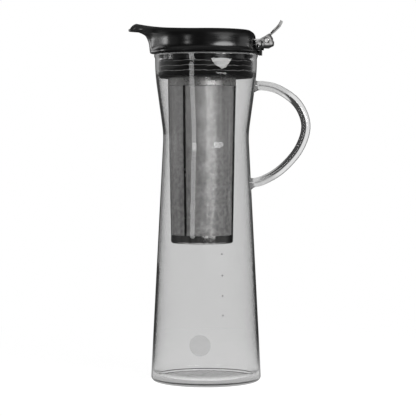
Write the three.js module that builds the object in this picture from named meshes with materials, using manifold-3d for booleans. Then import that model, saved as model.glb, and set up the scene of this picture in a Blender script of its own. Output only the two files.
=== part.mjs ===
// Cold brew coffee pitcher: a glass pitcher with a welded rod handle, a mesh strainer that hangs in
// its neck, and a black lid whose steel flap is opened by a thumb lever.
// Millimetres, +Z up. The origin is the centre of the foot. The spout points to -X, the handle to +X.

import * as THREE from 'three';
import { mergeVertices } from 'three/addons/utils/BufferGeometryUtils.js';
import Module from 'manifold-3d';

const wasm = await Module();
wasm.setup();

// Clearances
const seatGap = 0.3;          // between pieces that touch on the real object
const pinGap = 0.2;           // radial, round a pin or a rivet
const overrun = 20;           // how far a cutting shape passes the piece it cuts

// Glass body
const footRadius = 45;
const heelRound = 4;
const baseThickness = 3;
const innerHeelRound = 6;
const glassWall = 2;
const rimHeight = 266;
const waistRadius = 34.6;
const waistDrop = 65;         // from the rim down to the waist
const waistRound = 80;
const neckFlare = 6.75;       // how much wider the neck is than the waist
const neckDrop = 15.5;        // from the rim down to where the neck turns upright
const neckRound = 150;
const rimBead = 0.75;         // how far the rim stands out from the neck
const rimBeadHeight = 2;
const rimBeadRise = 2;        // slope from the neck out to the bead
const rimRound = 0.95;

// Glass handle
const handleDrop = 26;        // from the rim down to the upper weld
const handleSpan = 79;        // between the welds
const handleSpread = 39.85;   // from the neck out to the centre of the rod
const rodRadius = 3.75;
const weldRadius = 5.6;
const weldDepth = 5;

// Strainer, which hangs a little nearer to the spout than to the handle
const strainerOffset = 3.3;
const waistPass = 1.7;        // room between its widest part and the waist that it is drawn through
const strainerTaper = 2.4;    // how much wider it is at the top
const strainerLength = 133.7; // from the collar down
const meshThickness = 0.5;
const bandThickness = 0.6;
const bandHeight = 6;         // steel band that shows below the collar
const rimLip = 2.6;
const cupHeight = 6.5;
const cupLip = 2.6;
const seamWidth = 2;
const seamThickness = 0.4;
const seamAngle = 23;         // degrees round from the front, towards the spout

// Collar and gasket in the neck
const collarDrop = 19.7;      // from the rim down to the collar's lower face
const collarHeight = 14.7;
const collarFloor = 2;
const collarWall = 1.5;
const collarFoot = 1.5;       // height of the flange below the gasket
const gasketRoom = 1.95;      // between the collar and the glass
const gasketDrop = 0.8;       // from the collar's top to the gasket's
const gasketEdge = 0.2;       // width of the gasket's top edge
const lobeCount = 3;
const lobePitch = 3.75;
const grooveWidth = 0.8;
const grooveDepth = 0.9;
const topLobeSlope = 2;       // height of the top lobe's sloping shoulder

// Lid
const skirtWall = 2.4;
const flangeOverhang = 1.6;   // how far the flange stands out from the glass rim
const flangeEdge = 2.1;
const flangeRound = 0.8;
const coveDepth = 3.3;        // from the flange's edge in to the drum
const coveHeight = 4.8;
const drumHeight = 18.7;      // from the flange's lower face to the rim
const drumWall = 2.2;
const shoulderRound = 6;
const rimLand = 0.2;          // flat between the shoulder and the well
const cavityDrop = 8.2;       // from the rim down to the cavity's roof
const cavityGap = 0.4;        // between the skirt's line and the cavity
const bossHalfWidth = 10;
const ledgeDepth = 4;         // from the rim down to the flap's ledge
const ledgeThickness = 3.5;
const ledgeWidth = 3.2;
const wellGap = 1.6;          // round the flap, so that it can swing back
const notchHalfWidth = 7;
const notchGap = 0.6;         // below the lever, where it passes out through the rear notch

// Spout and the gutter in it
const spoutLength = 23.2;     // from the drum to the lip
const spoutRise = 6.3;        // how far the crest stands above the rim
const spoutHalfWidth = 6.6;
const spoutWall = 2.2;
const spoutLip = 1.9;         // thickness of the gutter's floor at the lip
const mouthInset = 8.2;       // from the well's wall in to where the flap's ledge ends
const gutterRun = 10;         // from there to where the gutter starts to climb
const climbRun = 14;          // from there to where the climb eases
const gutterDepth = 12.5;     // from the rim down to the gutter's floor at its foot
const gutterDrop = 2.2;       // from the lip's floor down to the knee
const gutterRound = 8;

// Flap
const flapThickness = 1;
const tongueInset = 10.6;     // from the lip back to the tongue's tip
const tongueHalfWidth = 3.8;
const tongueRise = 4.6;
const tongueRoot = 5.6;       // from the flap's edge in to where the tongue starts to climb
const tongueRound = 20;

// Lever, bracket and pin
const pivotOut = 6.3;         // from the flange's edge out to the pivot
const pivotDrop = 8.9;        // from the rim of the lid down to the pivot
const pinRadius = 1.2;
const pinHeadRadius = 2;
const pinHead = 1;
const steel = 1.2;            // thickness of the bracket's and the lever's sheet
const bendRound = 1.6;
const knuckleRadius = 3.1;
const leverHalfWidth = 5.4;
const throatRise = 1;         // from the pivot up to the level stretch of the lever in the notch
const throatLead = 1.4;       // from the flap's edge to where the lever turns down
const throatNear = 10.8;      // from the pivot back to the inner end of that stretch
const throatFar = 5.7;        // from the pivot back to its outer end
const thumbHalfWidth = 7.8;
const thumbStart = 3.6;       // from the pivot out to where the strip widens
const thumbReach = 11.6;      // from the pivot to the tip, along X
const thumbRise = 16.3;       // from the pivot to the tip, along Z
const thumbRound = 5;
const footLength = 16;
const footHalfWidth = 6;
const footRound = 5;
const earInner = 6;           // from the middle to the inner face of an ear
const earLength = 4.8;        // half the ear's length, from the pivot
const earRise = 5.9;          // half the ear's height, from the pivot
const legHook = 1.3;          // how far the leg hooks under the flange
const legDrop = 0.5;          // from the pivot down to the top of the leg
const tangLength = 9;
const tangHalfWidth = 5;
const tangDrop = 3.7;         // from the pivot down to the tang's lower face
const rivetRadius = 1.2;
const rivetHeadRadius = 2.1;
const rivetHead = 0.8;
const rivetPitch = 7;
const rivetInset = 3.6;       // from the end of the foot to the first rivet

// Facets
const bodySides = 56;
const ringSides = 40;
const smallSides = 16;
const rodSides = 12;
const rodSteps = 32;
const drumSteps = 16;
const flankSteps = 8;
const noseSteps = 6;
const chordError = 0.04;      // how far a facet of a rounded corner may cut inside its arc

// Heights that follow from the sizes above
const waistHeight = rimHeight - waistDrop;
const neckHeight = rimHeight - neckDrop;
const handleTopHeight = rimHeight - handleDrop;
const handleLowHeight = handleTopHeight - handleSpan;
const collarLow = rimHeight - collarDrop;
const collarTop = collarLow + collarHeight;
const strainerLow = collarLow - strainerLength;
const rimSeat = collarLow + collarFloor + seatGap;
const skirtLow = rimSeat + bandThickness + seatGap;
const flangeLow = rimHeight + seatGap;
const lidTop = flangeLow + drumHeight;
const lidAll = drumHeight + spoutRise;
const ledgeTop = lidTop - ledgeDepth;
const flapLow = ledgeTop + seatGap;
const flapTop = flapLow + flapThickness;
const pivotHeight = lidTop - pivotDrop;

// Radii and reaches that follow from the sizes above
const neckRadius = waistRadius + neckFlare;
const handleReach = neckRadius + handleSpread;
const strainerTopRadius = waistRadius - glassWall - strainerOffset - waistPass;
const strainerLowRadius = strainerTopRadius - strainerTaper;
const collarOuter = neckRadius - glassWall - gasketRoom;
const skirtBore = collarOuter - collarWall;
const skirtRadius = skirtBore - seatGap;
const boreRadius = skirtRadius - skirtWall;
const flangeRadius = neckRadius + rimBead + flangeOverhang;
const drumRadius = flangeRadius - coveDepth;
const wellRadius = drumRadius - shoulderRound - rimLand;
const flapRadius = wellRadius - wellGap;
const spoutReach = drumRadius + spoutLength;
const gutterMouth = wellRadius - mouthInset;
const gutterFoot = gutterMouth + gutterRun;
const gutterKnee = gutterFoot + climbRun;
const tongueReach = spoutReach - tongueInset;
const tongueStart = flapRadius - tongueRoot;
const pivotX = flangeRadius + pivotOut;

function makeLook(color, roughness, metalness) {
  return new THREE.MeshStandardMaterial({ color, roughness, metalness });
}

const looks = {
  glass: makeLook(0xe4e9e7, 0.03, 0),
  plastic: makeLook(0x151617, 0.3, 0),
  silicone: makeLook(0x121212, 0.6, 0),
  steel: makeLook(0xc9cbcc, 0.28, 1),
  mesh: makeLook(0x8e9092, 0.45, 1),
};
Object.assign(looks.glass, { transparent: true, opacity: 0.35 });

const object = new THREE.Group();

// Adds a named piece to the object, or to one of its groups.
function addPiece(name, solid, look, group = object) {
  const mesh = new THREE.Mesh(geometryOf(solid), look);
  mesh.name = name;
  group.add(mesh);
}

// Turns a closed geometry into a solid that can be joined and cut.
function solidOf(geometry) {
  const bare = geometry.clone();
  bare.deleteAttribute('normal');
  bare.deleteAttribute('uv');
  const merged = mergeVertices(bare);
  return new wasm.Manifold(new wasm.Mesh({
    numProp: 3,
    vertProperties: new Float32Array(merged.attributes.position.array),
    triVerts: new Uint32Array(merged.index.array),
  }));
}

// Turns a solid back into a geometry.
function geometryOf(solid) {
  const { vertProperties, triVerts } = solid.getMesh();
  const geometry = new THREE.BufferGeometry();
  geometry.setAttribute('position', new THREE.BufferAttribute(vertProperties, 3));
  geometry.setIndex(new THREE.BufferAttribute(triVerts, 1));
  geometry.computeVertexNormals();
  return geometry;
}

// Rounds the corners of an outline. A corner is [x, y] or [x, y, radius]. Where the side between
// two corners is too short for both, their radii shrink until it fits.
function rounded(corners, closed = true) {
  const points = [];
  const count = corners.length;
  const turns = corners.map(([x, y, radius = 0], i) => {
    const corner = new THREE.Vector2(x, y);
    const toBefore = new THREE.Vector2(...corners[(i + count - 1) % count]).sub(corner);
    const toAfter = new THREE.Vector2(...corners[(i + 1) % count]).sub(corner);
    const side = toAfter.length();
    toBefore.normalize();
    toAfter.normalize();
    const isEnd = !closed && (i === 0 || i === count - 1);
    const turn = Math.PI - Math.acos(THREE.MathUtils.clamp(toBefore.dot(toAfter), -1, 1));
    const setBack = isEnd ? 0 : radius * Math.tan(turn / 2);
    return { corner, toBefore, toAfter, turn, setBack, side, radius };
  });
  const fits = turns.map(({ setBack, side }, i) => side / (setBack + turns[(i + 1) % count].setBack));
  turns.forEach(({ corner, toBefore, toAfter, turn, setBack, radius: wanted }, i) => {
    if (setBack === 0) {
      points.push(corner);
      return;
    }
    const fit = Math.min(1, fits[i], fits[(i + count - 1) % count]);
    const radius = wanted * fit;
    const start = toBefore.clone().multiplyScalar(setBack * fit).add(corner);
    const middle = toBefore.clone().add(toAfter).normalize()
      .multiplyScalar(radius / Math.cos(turn / 2)).add(corner);
    const side = Math.sign(toAfter.cross(toBefore));
    const stepAngle = 2 * Math.acos(1 - Math.min(1, chordError / radius));
    const steps = Math.max(2, Math.ceil(turn / stepAngle));
    for (let step = 0; step <= steps; step += 1) {
      points.push(start.clone().rotateAround(middle, side * turn * (step / steps)));
    }
  });
  return points;
}

// Radius of an outline of [radius, height] points at one height.
function radiusAt(outline, height) {
  const above = outline.findIndex((point, i) => i > 0 && point.y >= height && outline[i - 1].y < height);
  const low = outline[above - 1];
  const high = outline[above];
  return THREE.MathUtils.mapLinear(height, low.y, high.y, low.x, high.x);
}

// Revolves an outline of [radius, height] points round an upright axis at x.
function revolvePoints(points, sides = ringSides, x = 0) {
  const onAxis = points[0].x === 0;
  const profile = onAxis ? points : [...points, points[0].clone()];
  const geometry = new THREE.LatheGeometry(profile, sides);
  geometry.rotateX(Math.PI / 2);
  geometry.translate(x, 0, 0);
  return solidOf(geometry);
}

function revolve(corners, sides = ringSides) {
  return revolvePoints(rounded(corners), sides);
}

// A plate cut to a side view outline of [x, z] points, its width centred on the XZ plane.
function sidePlate(points, width) {
  const geometry = new THREE.ExtrudeGeometry(new THREE.Shape(points), { depth: width, bevelEnabled: false });
  geometry.rotateX(Math.PI / 2);
  geometry.translate(0, width / 2, 0);
  return solidOf(geometry);
}

// A prism over a plan view outline of [x, y] points.
function planPrism(points, low, high) {
  const geometry = new THREE.ExtrudeGeometry(new THREE.Shape(points), {
    depth: high - low, bevelEnabled: false,
  });
  geometry.translate(0, 0, low);
  return solidOf(geometry);
}

// A block given by its lowest and highest corners.
function block(low, high) {
  const geometry = new THREE.BoxGeometry(...high.map((value, i) => value - low[i]));
  geometry.translate(...high.map((value, i) => (value + low[i]) / 2));
  return solidOf(geometry);
}

// An upright cylinder for a hole, long enough to pass any piece at that height.
function drill(x, height, radius, sides = smallSides) {
  const geometry = new THREE.CylinderGeometry(radius, radius, overrun, sides);
  geometry.rotateX(Math.PI / 2);
  geometry.translate(x, 0, height);
  return solidOf(geometry);
}

// Side view of a bent sheet: a line of corners is given thickness on both sides.
function sheetOutline(corners, thickness) {
  const line = rounded(corners, false);
  const offset = (side) => line.map((point, i) => {
    const before = line[Math.max(i - 1, 0)];
    const after = line[Math.min(i + 1, line.length - 1)];
    const into = point.clone().sub(i > 0 ? before : after).normalize();
    const onward = after.clone().sub(before).normalize();
    const stretch = Math.max(Math.abs(into.dot(onward)), Math.SQRT1_2);
    return new THREE.Vector2(-onward.y, onward.x).multiplyScalar(side * thickness / 2 / stretch).add(point);
  });
  return [...offset(-1), ...offset(1).reverse()];
}

// A closed skin over rings that all have the same number of points.
function loft(rings) {
  const count = rings[0].length;
  const positions = rings.flat().flatMap((point) => point.toArray());
  const index = [];
  for (let level = 0; level < rings.length - 1; level += 1) {
    for (let i = 0; i < count; i += 1) {
      const a = level * count + i;
      const b = level * count + (i + 1) % count;
      index.push(a, b, b + count, a, b + count, a + count);
    }
  }
  const centreOf = (ring) => ring.reduce((sum, point) => sum.add(point), new THREE.Vector3())
    .divideScalar(count);
  const low = rings.length * count;
  const top = low - count;
  positions.push(...centreOf(rings[0]).toArray(), ...centreOf(rings.at(-1)).toArray());
  for (let i = 0; i < count; i += 1) {
    const next = (i + 1) % count;
    index.push(low, next, i, low + 1, top + i, top + next);
  }
  const geometry = new THREE.BufferGeometry();
  geometry.setAttribute('position', new THREE.BufferAttribute(new Float32Array(positions), 3));
  geometry.setIndex(index);
  return solidOf(geometry);
}

// Glass body: one outline runs up the outside, over the rim and down the inside.
const outside = rounded([
  [0, 0],
  [footRadius, 0, heelRound],
  [waistRadius, waistHeight, waistRound],
  [neckRadius, neckHeight, neckRound],
  [neckRadius, rimHeight - rimBeadHeight - rimBeadRise],
  [neckRadius + rimBead, rimHeight - rimBeadHeight],
  [neckRadius + rimBead, rimHeight, rimRound],
  [neckRadius - glassWall, rimHeight, rimRound],
  [neckRadius - glassWall, neckHeight],
], false);
const inside = rounded([
  [0, baseThickness],
  [footRadius - glassWall, baseThickness, innerHeelRound],
  [waistRadius - glassWall, waistHeight, waistRound],
  [neckRadius - glassWall, neckHeight, neckRound],
  [neckRadius - glassWall, rimHeight],
], false);
const glassOutline = [...outside.slice(0, -1), ...inside.slice(0, -1).reverse()];
addPiece('glass_body', revolvePoints(glassOutline, bodySides), looks.glass);

// Handle: a rod swept along a curve, with a spread pad welded to the body at each end.
// Its path is given in shares of its spread from the neck and of the height between the welds.
const handlePathShares = [
  [0.112, 1.003], [0.43, 0.965], [0.827, 0.818], [1, 0.6], [0.87, 0.365], [0.48, 0.138], [0.103, 0.028],
];

function weldPad(weld) {
  const outline = rounded([
    [0, -weldDepth],
    [weldRadius, -weldDepth],
    [weldRadius, rodRadius / 8, rodRadius / 8],
    [rodRadius, weldDepth / 3, weldDepth / 2],
    [rodRadius, weldDepth],
    [0, weldDepth],
  ], false);
  const geometry = new THREE.LatheGeometry(outline, rodSides);
  geometry.rotateZ(-Math.PI / 2);
  geometry.translate(weld.x, weld.y, weld.z);
  return solidOf(geometry);
}

function makeHandle() {
  const weldAt = (height) => new THREE.Vector3(radiusAt(outside, height), 0, height);
  const topWeld = weldAt(handleTopHeight);
  const lowWeld = weldAt(handleLowHeight);
  const inward = new THREE.Vector3(-weldDepth, 0, 0);
  const path = new THREE.CatmullRomCurve3([
    topWeld.clone().add(inward),
    topWeld,
    ...handlePathShares.map(([out, up]) => new THREE.Vector3(
      THREE.MathUtils.lerp(neckRadius, handleReach, out), 0,
      THREE.MathUtils.lerp(handleLowHeight, handleTopHeight, up))),
    lowWeld,
    lowWeld.clone().add(inward),
  ]);
  const section = new THREE.Shape();
  section.absarc(0, 0, rodRadius, 0, Math.PI * 2);
  const rod = new THREE.ExtrudeGeometry(section, {
    steps: rodSteps, extrudePath: path, curveSegments: rodSides / 2,
  });
  const bodyOutline = outside.slice(1, -1).map(({ x, y }) => new THREE.Vector2(x + seatGap, y));
  const clearance = revolvePoints([
    new THREE.Vector2(0, 0), ...bodyOutline, new THREE.Vector2(0, rimHeight - rimRound),
  ], bodySides);
  return solidOf(rod).add(weldPad(topWeld)).add(weldPad(lowWeld)).subtract(clearance);
}

addPiece('glass_handle', makeHandle(), looks.glass);

// Strainer: rim, mesh wall, seam strip, cup and floor, all round one axis.
const bandLow = collarLow - bandHeight;
const meshTop = bandLow - seatGap;
const cupTop = strainerLow + cupHeight;
const meshLow = cupTop + seatGap;
const floorLow = strainerLow + bandThickness + seatGap;
const floorRadius = strainerLowRadius - bandThickness - seatGap;

function strainerRadius(height) {
  return THREE.MathUtils.mapLinear(height, strainerLow, bandLow, strainerLowRadius, strainerTopRadius);
}

// A wall that follows the strainer's taper, standing off from its surface.
function taperedWall(low, high, standOff, thickness) {
  return revolve([
    [strainerRadius(low) + standOff, low],
    [strainerRadius(low) + standOff + thickness, low],
    [strainerRadius(high) + standOff + thickness, high],
    [strainerRadius(high) + standOff, high],
  ]);
}

function makeStrainerRim() {
  return revolve([
    [strainerTopRadius - bandThickness, bandLow],
    [strainerTopRadius, bandLow],
    [strainerTopRadius, rimSeat],
    [strainerTopRadius + rimLip, rimSeat],
    [strainerTopRadius + rimLip, rimSeat + bandThickness],
    [strainerTopRadius - bandThickness, rimSeat + bandThickness],
  ]);
}

function makeMeshWall() {
  return taperedWall(meshLow, meshTop, -meshThickness, meshThickness);
}

function makeSeam() {
  const depth = 2 * strainerTopRadius;
  const bar = new THREE.BoxGeometry(seamWidth, depth, overrun + meshTop - meshLow);
  bar.translate(0, -depth / 2, (meshTop + meshLow) / 2);
  bar.rotateZ(-THREE.MathUtils.degToRad(seamAngle));
  return taperedWall(meshLow, meshTop, seatGap, seamThickness).intersect(solidOf(bar));
}

function makeCup() {
  return revolve([
    [strainerLowRadius - cupLip, strainerLow],
    [strainerLowRadius, strainerLow, 2 * bandThickness],
    [strainerRadius(cupTop), cupTop],
    [strainerRadius(cupTop) - bandThickness, cupTop],
    [strainerLowRadius - bandThickness, strainerLow + bandThickness],
    [strainerLowRadius - cupLip, strainerLow + bandThickness],
  ]);
}

function makeFloor() {
  return revolve([
    [0, floorLow],
    [floorRadius, floorLow],
    [floorRadius, floorLow + meshThickness],
    [0, floorLow + meshThickness],
  ]);
}

const strainer = new THREE.Group();
strainer.position.x = -strainerOffset;
object.add(strainer);
addPiece('strainer_rim', makeStrainerRim(), looks.steel, strainer);
addPiece('strainer_mesh', makeMeshWall(), looks.mesh, strainer);
addPiece('strainer_seam', makeSeam(), looks.steel, strainer);
addPiece('strainer_cup', makeCup(), looks.steel, strainer);
addPiece('strainer_floor', makeFloor(), looks.mesh, strainer);

// Collar: a ring with a floor, whose hole holds the strainer off centre.
const gasketSeat = collarLow + collarFoot;

function makeCollar() {
  const footReach = radiusAt(inside, gasketSeat) - 2 * seatGap;
  const ring = revolve([
    [0, collarLow],
    [collarOuter, collarLow],
    [footReach, gasketSeat - collarFoot / 3],
    [footReach, gasketSeat],
    [collarOuter, gasketSeat],
    [collarOuter, collarTop - collarWall],
    [skirtBore + collarWall / 2, collarTop],
    [skirtBore, collarTop],
    [skirtBore, collarLow + collarFloor],
    [0, collarLow + collarFloor],
  ]);
  return ring.subtract(drill(-strainerOffset, collarLow, strainerTopRadius + seatGap, ringSides));
}

addPiece('strainer_collar', makeCollar(), looks.plastic);

// Gasket: a sleeve whose lobes reach the glass, parted by narrow grooves.
function makeGasket() {
  const bore = collarOuter + seatGap;
  const low = gasketSeat + seatGap;
  const high = collarTop - gasketDrop;
  const reachAt = (height) => radiusAt(inside, height) - seatGap;
  const corners = [[bore, low]];
  for (let lobe = lobeCount; lobe > 0; lobe -= 1) {
    const foot = lobe === lobeCount ? low : high - lobe * lobePitch + grooveWidth / 2;
    const top = lobe === 1 ? high - topLobeSlope : high - (lobe - 1) * lobePitch - grooveWidth / 2;
    corners.push([reachAt(foot), foot], [reachAt(top), top]);
    if (lobe > 1) {
      const grooveRadius = reachAt(top) - grooveDepth;
      corners.push([grooveRadius, top], [grooveRadius, top + grooveWidth]);
    }
  }
  corners.push([bore + gasketEdge, high], [bore, high]);
  return revolve(corners);
}

addPiece('neck_gasket', makeGasket(), looks.silicone);

// Plan view of a drum with its spout, as [x, y] points that start at the rear: an arc round the
// drum, a flank that leaves it at the spring angle, and half of an elliptical nose, then mirrored.
const springAngle = THREE.MathUtils.degToRad(130);

function arcPoints(steps, from, to, place) {
  return Array.from({ length: steps + 1 }, (_, i) => {
    const angle = THREE.MathUtils.lerp(from, to, i / steps);
    return place(Math.cos(angle), Math.sin(angle));
  });
}

function spoutOutline({ radius, noseRoot, nose, halfWidth }) {
  const drum = arcPoints(drumSteps, 0, springAngle, (x, y) => new THREE.Vector2(radius * x, radius * y));
  const spring = drum.at(-1);
  const root = new THREE.Vector2(-noseRoot, halfWidth);
  const pull = root.distanceTo(spring) / 3;
  const flank = new THREE.CubicBezierCurve(
    spring,
    new THREE.Vector2(-Math.sin(springAngle), Math.cos(springAngle)).multiplyScalar(pull).add(spring),
    new THREE.Vector2(-noseRoot + pull, halfWidth),
    root,
  ).getPoints(flankSteps);
  const tip = arcPoints(noseSteps, Math.PI / 2, Math.PI, (x, y) => new THREE.Vector2(
    nose * x - noseRoot, halfWidth * y));
  return mirrorOutline([...drum.slice(0, -1), ...flank.slice(0, -1), ...tip]);
}

// A circle with its points spaced like those of the outline above.
function roundOutline(radius) {
  const place = (x, y) => new THREE.Vector2(radius * x, radius * y);
  return mirrorOutline([
    ...arcPoints(drumSteps, 0, springAngle, place).slice(0, -1),
    ...arcPoints(flankSteps + noseSteps, springAngle, Math.PI, place),
  ]);
}

// Adds the far half to an outline that runs from the rear to the tip.
function mirrorOutline(half) {
  half[0].y = 0;
  half.at(-1).y = 0;
  return [...half, ...half.slice(1, -1).reverse().map(({ x, y }) => new THREE.Vector2(x, -y))];
}

// Rear side of the lid's outer face as [radius, height] points: foot, edge, cove, wall, shoulder.
function drumProfile() {
  const coveTop = flangeEdge + coveHeight;
  const shoulderLow = drumHeight - shoulderRound;
  return [
    ...arcPoints(2, -Math.PI / 2, 0, (x, y) => [
      flangeRadius - flangeRound * (1 - x), flangeRound * (1 + y)]),
    [flangeRadius, flangeEdge - flangeRound / 2],
    [flangeRadius - flangeRound / 2, flangeEdge],
    ...arcPoints(3, 0, Math.PI / 2, (x, y) => [
      flangeRadius - (flangeRadius - drumRadius) * y, coveTop - coveHeight * x]).slice(1),
    [drumRadius, (coveTop + shoulderLow) / 2],
    ...arcPoints(8, 0, Math.PI / 2, (x, y) => [
      drumRadius - shoulderRound * (1 - x), shoulderLow + shoulderRound * y]),
  ];
}

// Below the shoulder the rings are round, with a share of the spout's plan in each. The shoulder's
// rings flow into the spout: shares of its plan, its reach past the drum, the lid's whole height at
// the tip, and its half width. The first ring that is all spout is the underside of its lip.
const underLipShare = 0.732;
const lowRingShares = [0.077, 0.086, 0.095, 0.1, 0.123, 0.183, 0.235, 0.263, 0.293];
const shoulderRingShares = [
  [0.358, 1, 0.524, 0.9], [0.43, 1, 0.604, 0.9], [0.645, 1, 0.696, 0.9], [0.85, 1, 0.724, 0.9],
  [1, 0.987, underLipShare, 0.9], [1, 1, 0.788, 0.98], [1, 0.953, 0.868, 1], [1, 0.866, 0.948, 0.97],
  [1, 0.776, 0.988, 0.91],
];

function spoutPlan([reachShare, , widthShare]) {
  const halfWidth = spoutHalfWidth * widthShare;
  const reach = THREE.MathUtils.lerp(drumRadius, spoutReach, reachShare);
  return { halfWidth, nose: halfWidth, noseRoot: reach - halfWidth };
}

function lidShell() {
  const profile = drumProfile();
  const lowRows = lowRingShares.map((share, i) => [share, 1, profile[i][1] / lidAll, 1]);
  const rings = [...lowRows, ...shoulderRingShares].map(([spoutShare, ...rest], i) => {
    const [radius, height] = profile[i];
    const plan = spoutOutline({ radius, ...spoutPlan(rest) });
    const ring = roundOutline(radius).map((point, j) => point.lerp(plan[j], spoutShare));
    const tip = Math.min(...ring.map(({ x }) => x));
    return ring.map(({ x, y }) => {
      const climb = Math.max(0, x / tip) ** 2;
      return new THREE.Vector3(x, y, flangeLow + THREE.MathUtils.lerp(height, lidAll * rest[1], climb));
    });
  });
  return loft(rings);
}

// The well for the flap, and the gutter that climbs from the bore to the lip.
function lidWell() {
  const lipFloor = flangeLow + lidAll * underLipShare + spoutLip;
  const crest = spoutPlan(shoulderRingShares.at(-1).slice(1));
  const beyond = spoutReach + overrun;
  const floor = rounded([
    [drumRadius, lidTop + overrun],
    [drumRadius, ledgeTop],
    [-gutterMouth, ledgeTop],
    [-gutterMouth, lidTop - gutterDepth],
    [-gutterFoot, lidTop - gutterDepth, gutterRound],
    [-gutterKnee, lipFloor - gutterDrop, gutterRound],
    [-spoutReach + spoutHalfWidth, lipFloor, gutterRound],
    [-beyond, lipFloor],
    [-beyond, lidTop + overrun],
  ]);
  const outline = spoutOutline({
    radius: wellRadius,
    noseRoot: crest.noseRoot,
    nose: beyond - crest.noseRoot,
    halfWidth: spoutHalfWidth - spoutWall,
  });
  return sidePlate(floor, 4 * drumRadius).intersect(planPrism(outline, flangeLow, lidTop + 2 * overrun));
}

// Bracket's tang, which the drum's wall holds. The same shape, a little larger, is its slot.
const legInner = flangeRadius + seatGap;
const legOuter = legInner + steel;

function tang(gap) {
  const low = pivotHeight - tangDrop;
  return block(
    [legInner - tangLength - gap, -tangHalfWidth - gap, low - gap],
    [legOuter, tangHalfWidth + gap, low + steel + gap],
  );
}

function makeLid() {
  const skirt = revolve([
    [0, skirtLow],
    [skirtRadius, skirtLow],
    [skirtRadius, flangeLow + flangeEdge],
    [0, flangeLow + flangeEdge],
  ]);
  const bore = revolve([
    [0, skirtLow - overrun],
    [boreRadius, skirtLow - overrun],
    [boreRadius, ledgeTop - ledgeThickness],
    [wellRadius - ledgeWidth, ledgeTop - ledgeThickness],
    [wellRadius - ledgeWidth, lidTop + overrun],
    [0, lidTop + overrun],
  ]);
  const cavity = revolve([
    [skirtRadius + cavityGap, flangeLow - overrun],
    [drumRadius - drumWall, flangeLow - overrun],
    [drumRadius - drumWall, lidTop - cavityDrop],
    [skirtRadius + cavityGap, lidTop - cavityDrop],
  ]);
  const rearBoss = block([0, -bossHalfWidth, 0], [flangeRadius, bossHalfWidth, lidTop]);
  const frontBoss = block([-spoutReach, -flangeRadius, 0], [-gutterMouth, flangeRadius, lidTop]);
  const notch = block(
    [0, -notchHalfWidth, pivotHeight + throatRise - steel / 2 - notchGap],
    [flangeRadius, notchHalfWidth, lidTop + overrun],
  );
  return lidShell()
    .add(skirt)
    .subtract(bore)
    .subtract(lidWell())
    .subtract(cavity.subtract(rearBoss).subtract(frontBoss))
    .subtract(notch)
    .subtract(tang(seatGap));
}

addPiece('lid_body', makeLid(), looks.plastic);

// Bracket: a leg outside the flange, a hook under it, the tang, two ears and a web between them.
// The ears and the web are drawn round the pivot, in shares of the ear's half length and height.
const earShares = [
  [-0.88, 0.31, 0], [0.39, 1, 0.2], [0.8, 0.49, 0.2], [1, -0.54, 0.25],
  [0.04, -1, 0.4], [-0.65, -0.75, 0], [-1.14, -0.93, 0], [-1.14, -0.12, 0],
];
const webShares = [[-1.1, -0.82, 0], [0, -0.86, 0.4], [0.88, -0.54, 0.2], [0.9, 0, 0]];

function roundPivot(shares) {
  return shares.map(([out, up, round]) => [
    pivotX + earLength * out, pivotHeight + earRise * up, earLength * round,
  ]);
}

// A bar along the hinge axis.
function crossBar(radius, halfLength) {
  const geometry = new THREE.CylinderGeometry(radius, radius, 2 * halfLength, smallSides);
  geometry.translate(pivotX, 0, pivotHeight);
  return solidOf(geometry);
}

function makeBracket() {
  const earOuter = earInner + steel;
  const hookTop = flangeLow - seatGap;
  const hookLow = hookTop - steel;
  const leg = block([legInner, -earOuter, hookLow], [legOuter, earOuter, pivotHeight - legDrop]);
  const hook = block([legInner - legHook, -earOuter, hookLow], [legOuter, earOuter, hookTop]);
  const web = sidePlate(sheetOutline(roundPivot(webShares), steel), 2 * earOuter);
  const between = block([0, -earInner, hookLow], [spoutReach, earInner, lidTop + overrun]);
  const ears = sidePlate(rounded(roundPivot(earShares)), 2 * earOuter).subtract(between);
  return leg.add(hook).add(tang(0)).add(web).add(ears).subtract(crossBar(pinRadius + pinGap, overrun));
}

addPiece('hinge_bracket', makeBracket(), looks.steel);

// Pin: a shank with a head outside each ear.
function makePin() {
  const shoulder = earInner + steel + seatGap;
  const outline = rounded([
    [0, -shoulder - pinHead],
    [pinHeadRadius, -shoulder - pinHead, pinHead / 2],
    [pinHeadRadius, -shoulder],
    [pinRadius, -shoulder],
    [pinRadius, shoulder],
    [pinHeadRadius, shoulder],
    [pinHeadRadius, shoulder + pinHead, pinHead / 2],
    [0, shoulder + pinHead],
  ], false);
  const geometry = new THREE.LatheGeometry(outline, rodSides);
  geometry.translate(pivotX, 0, pivotHeight);
  return solidOf(geometry);
}

addPiece('hinge_pin', makePin(), looks.steel);

// Flap: sheet with a tongue that climbs the gutter.
const rivetPlaces = [0, 1].map((i) => flapRadius - footLength + rivetInset + i * rivetPitch);

function drillForRivets(solid) {
  return rivetPlaces.reduce((rest, x) => rest.subtract(drill(x, flapTop, rivetRadius + pinGap)), solid);
}

function makeFlap() {
  const middle = flapLow + flapThickness / 2;
  const slope = tongueRise / (tongueReach - tongueStart);
  const line = [
    [drumRadius, middle],
    [-tongueStart, middle, tongueRound],
    [-tongueReach - overrun, middle + slope * (tongueReach - tongueStart + overrun)],
  ];
  const outline = spoutOutline({
    radius: flapRadius,
    noseRoot: tongueReach - tongueHalfWidth,
    nose: tongueHalfWidth,
    halfWidth: tongueHalfWidth,
  });
  const sheet = sidePlate(sheetOutline(line, flapThickness), 4 * drumRadius);
  return drillForRivets(sheet.intersect(planPrism(outline, flangeLow, lidTop + overrun)));
}

addPiece('lid_flap', makeFlap(), looks.steel);

// Lever: one bent strip from its foot on the flap, out through the notch and up to the thumb plate,
// whose side view past the knuckle is given in shares of its reach and rise from the pivot.
const thumbShares = [[0.216, 0.331, 0.2], [0.828, 0.755, 0.35], [0.91, 0.86, 0.2], [1, 1, 0]];

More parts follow.
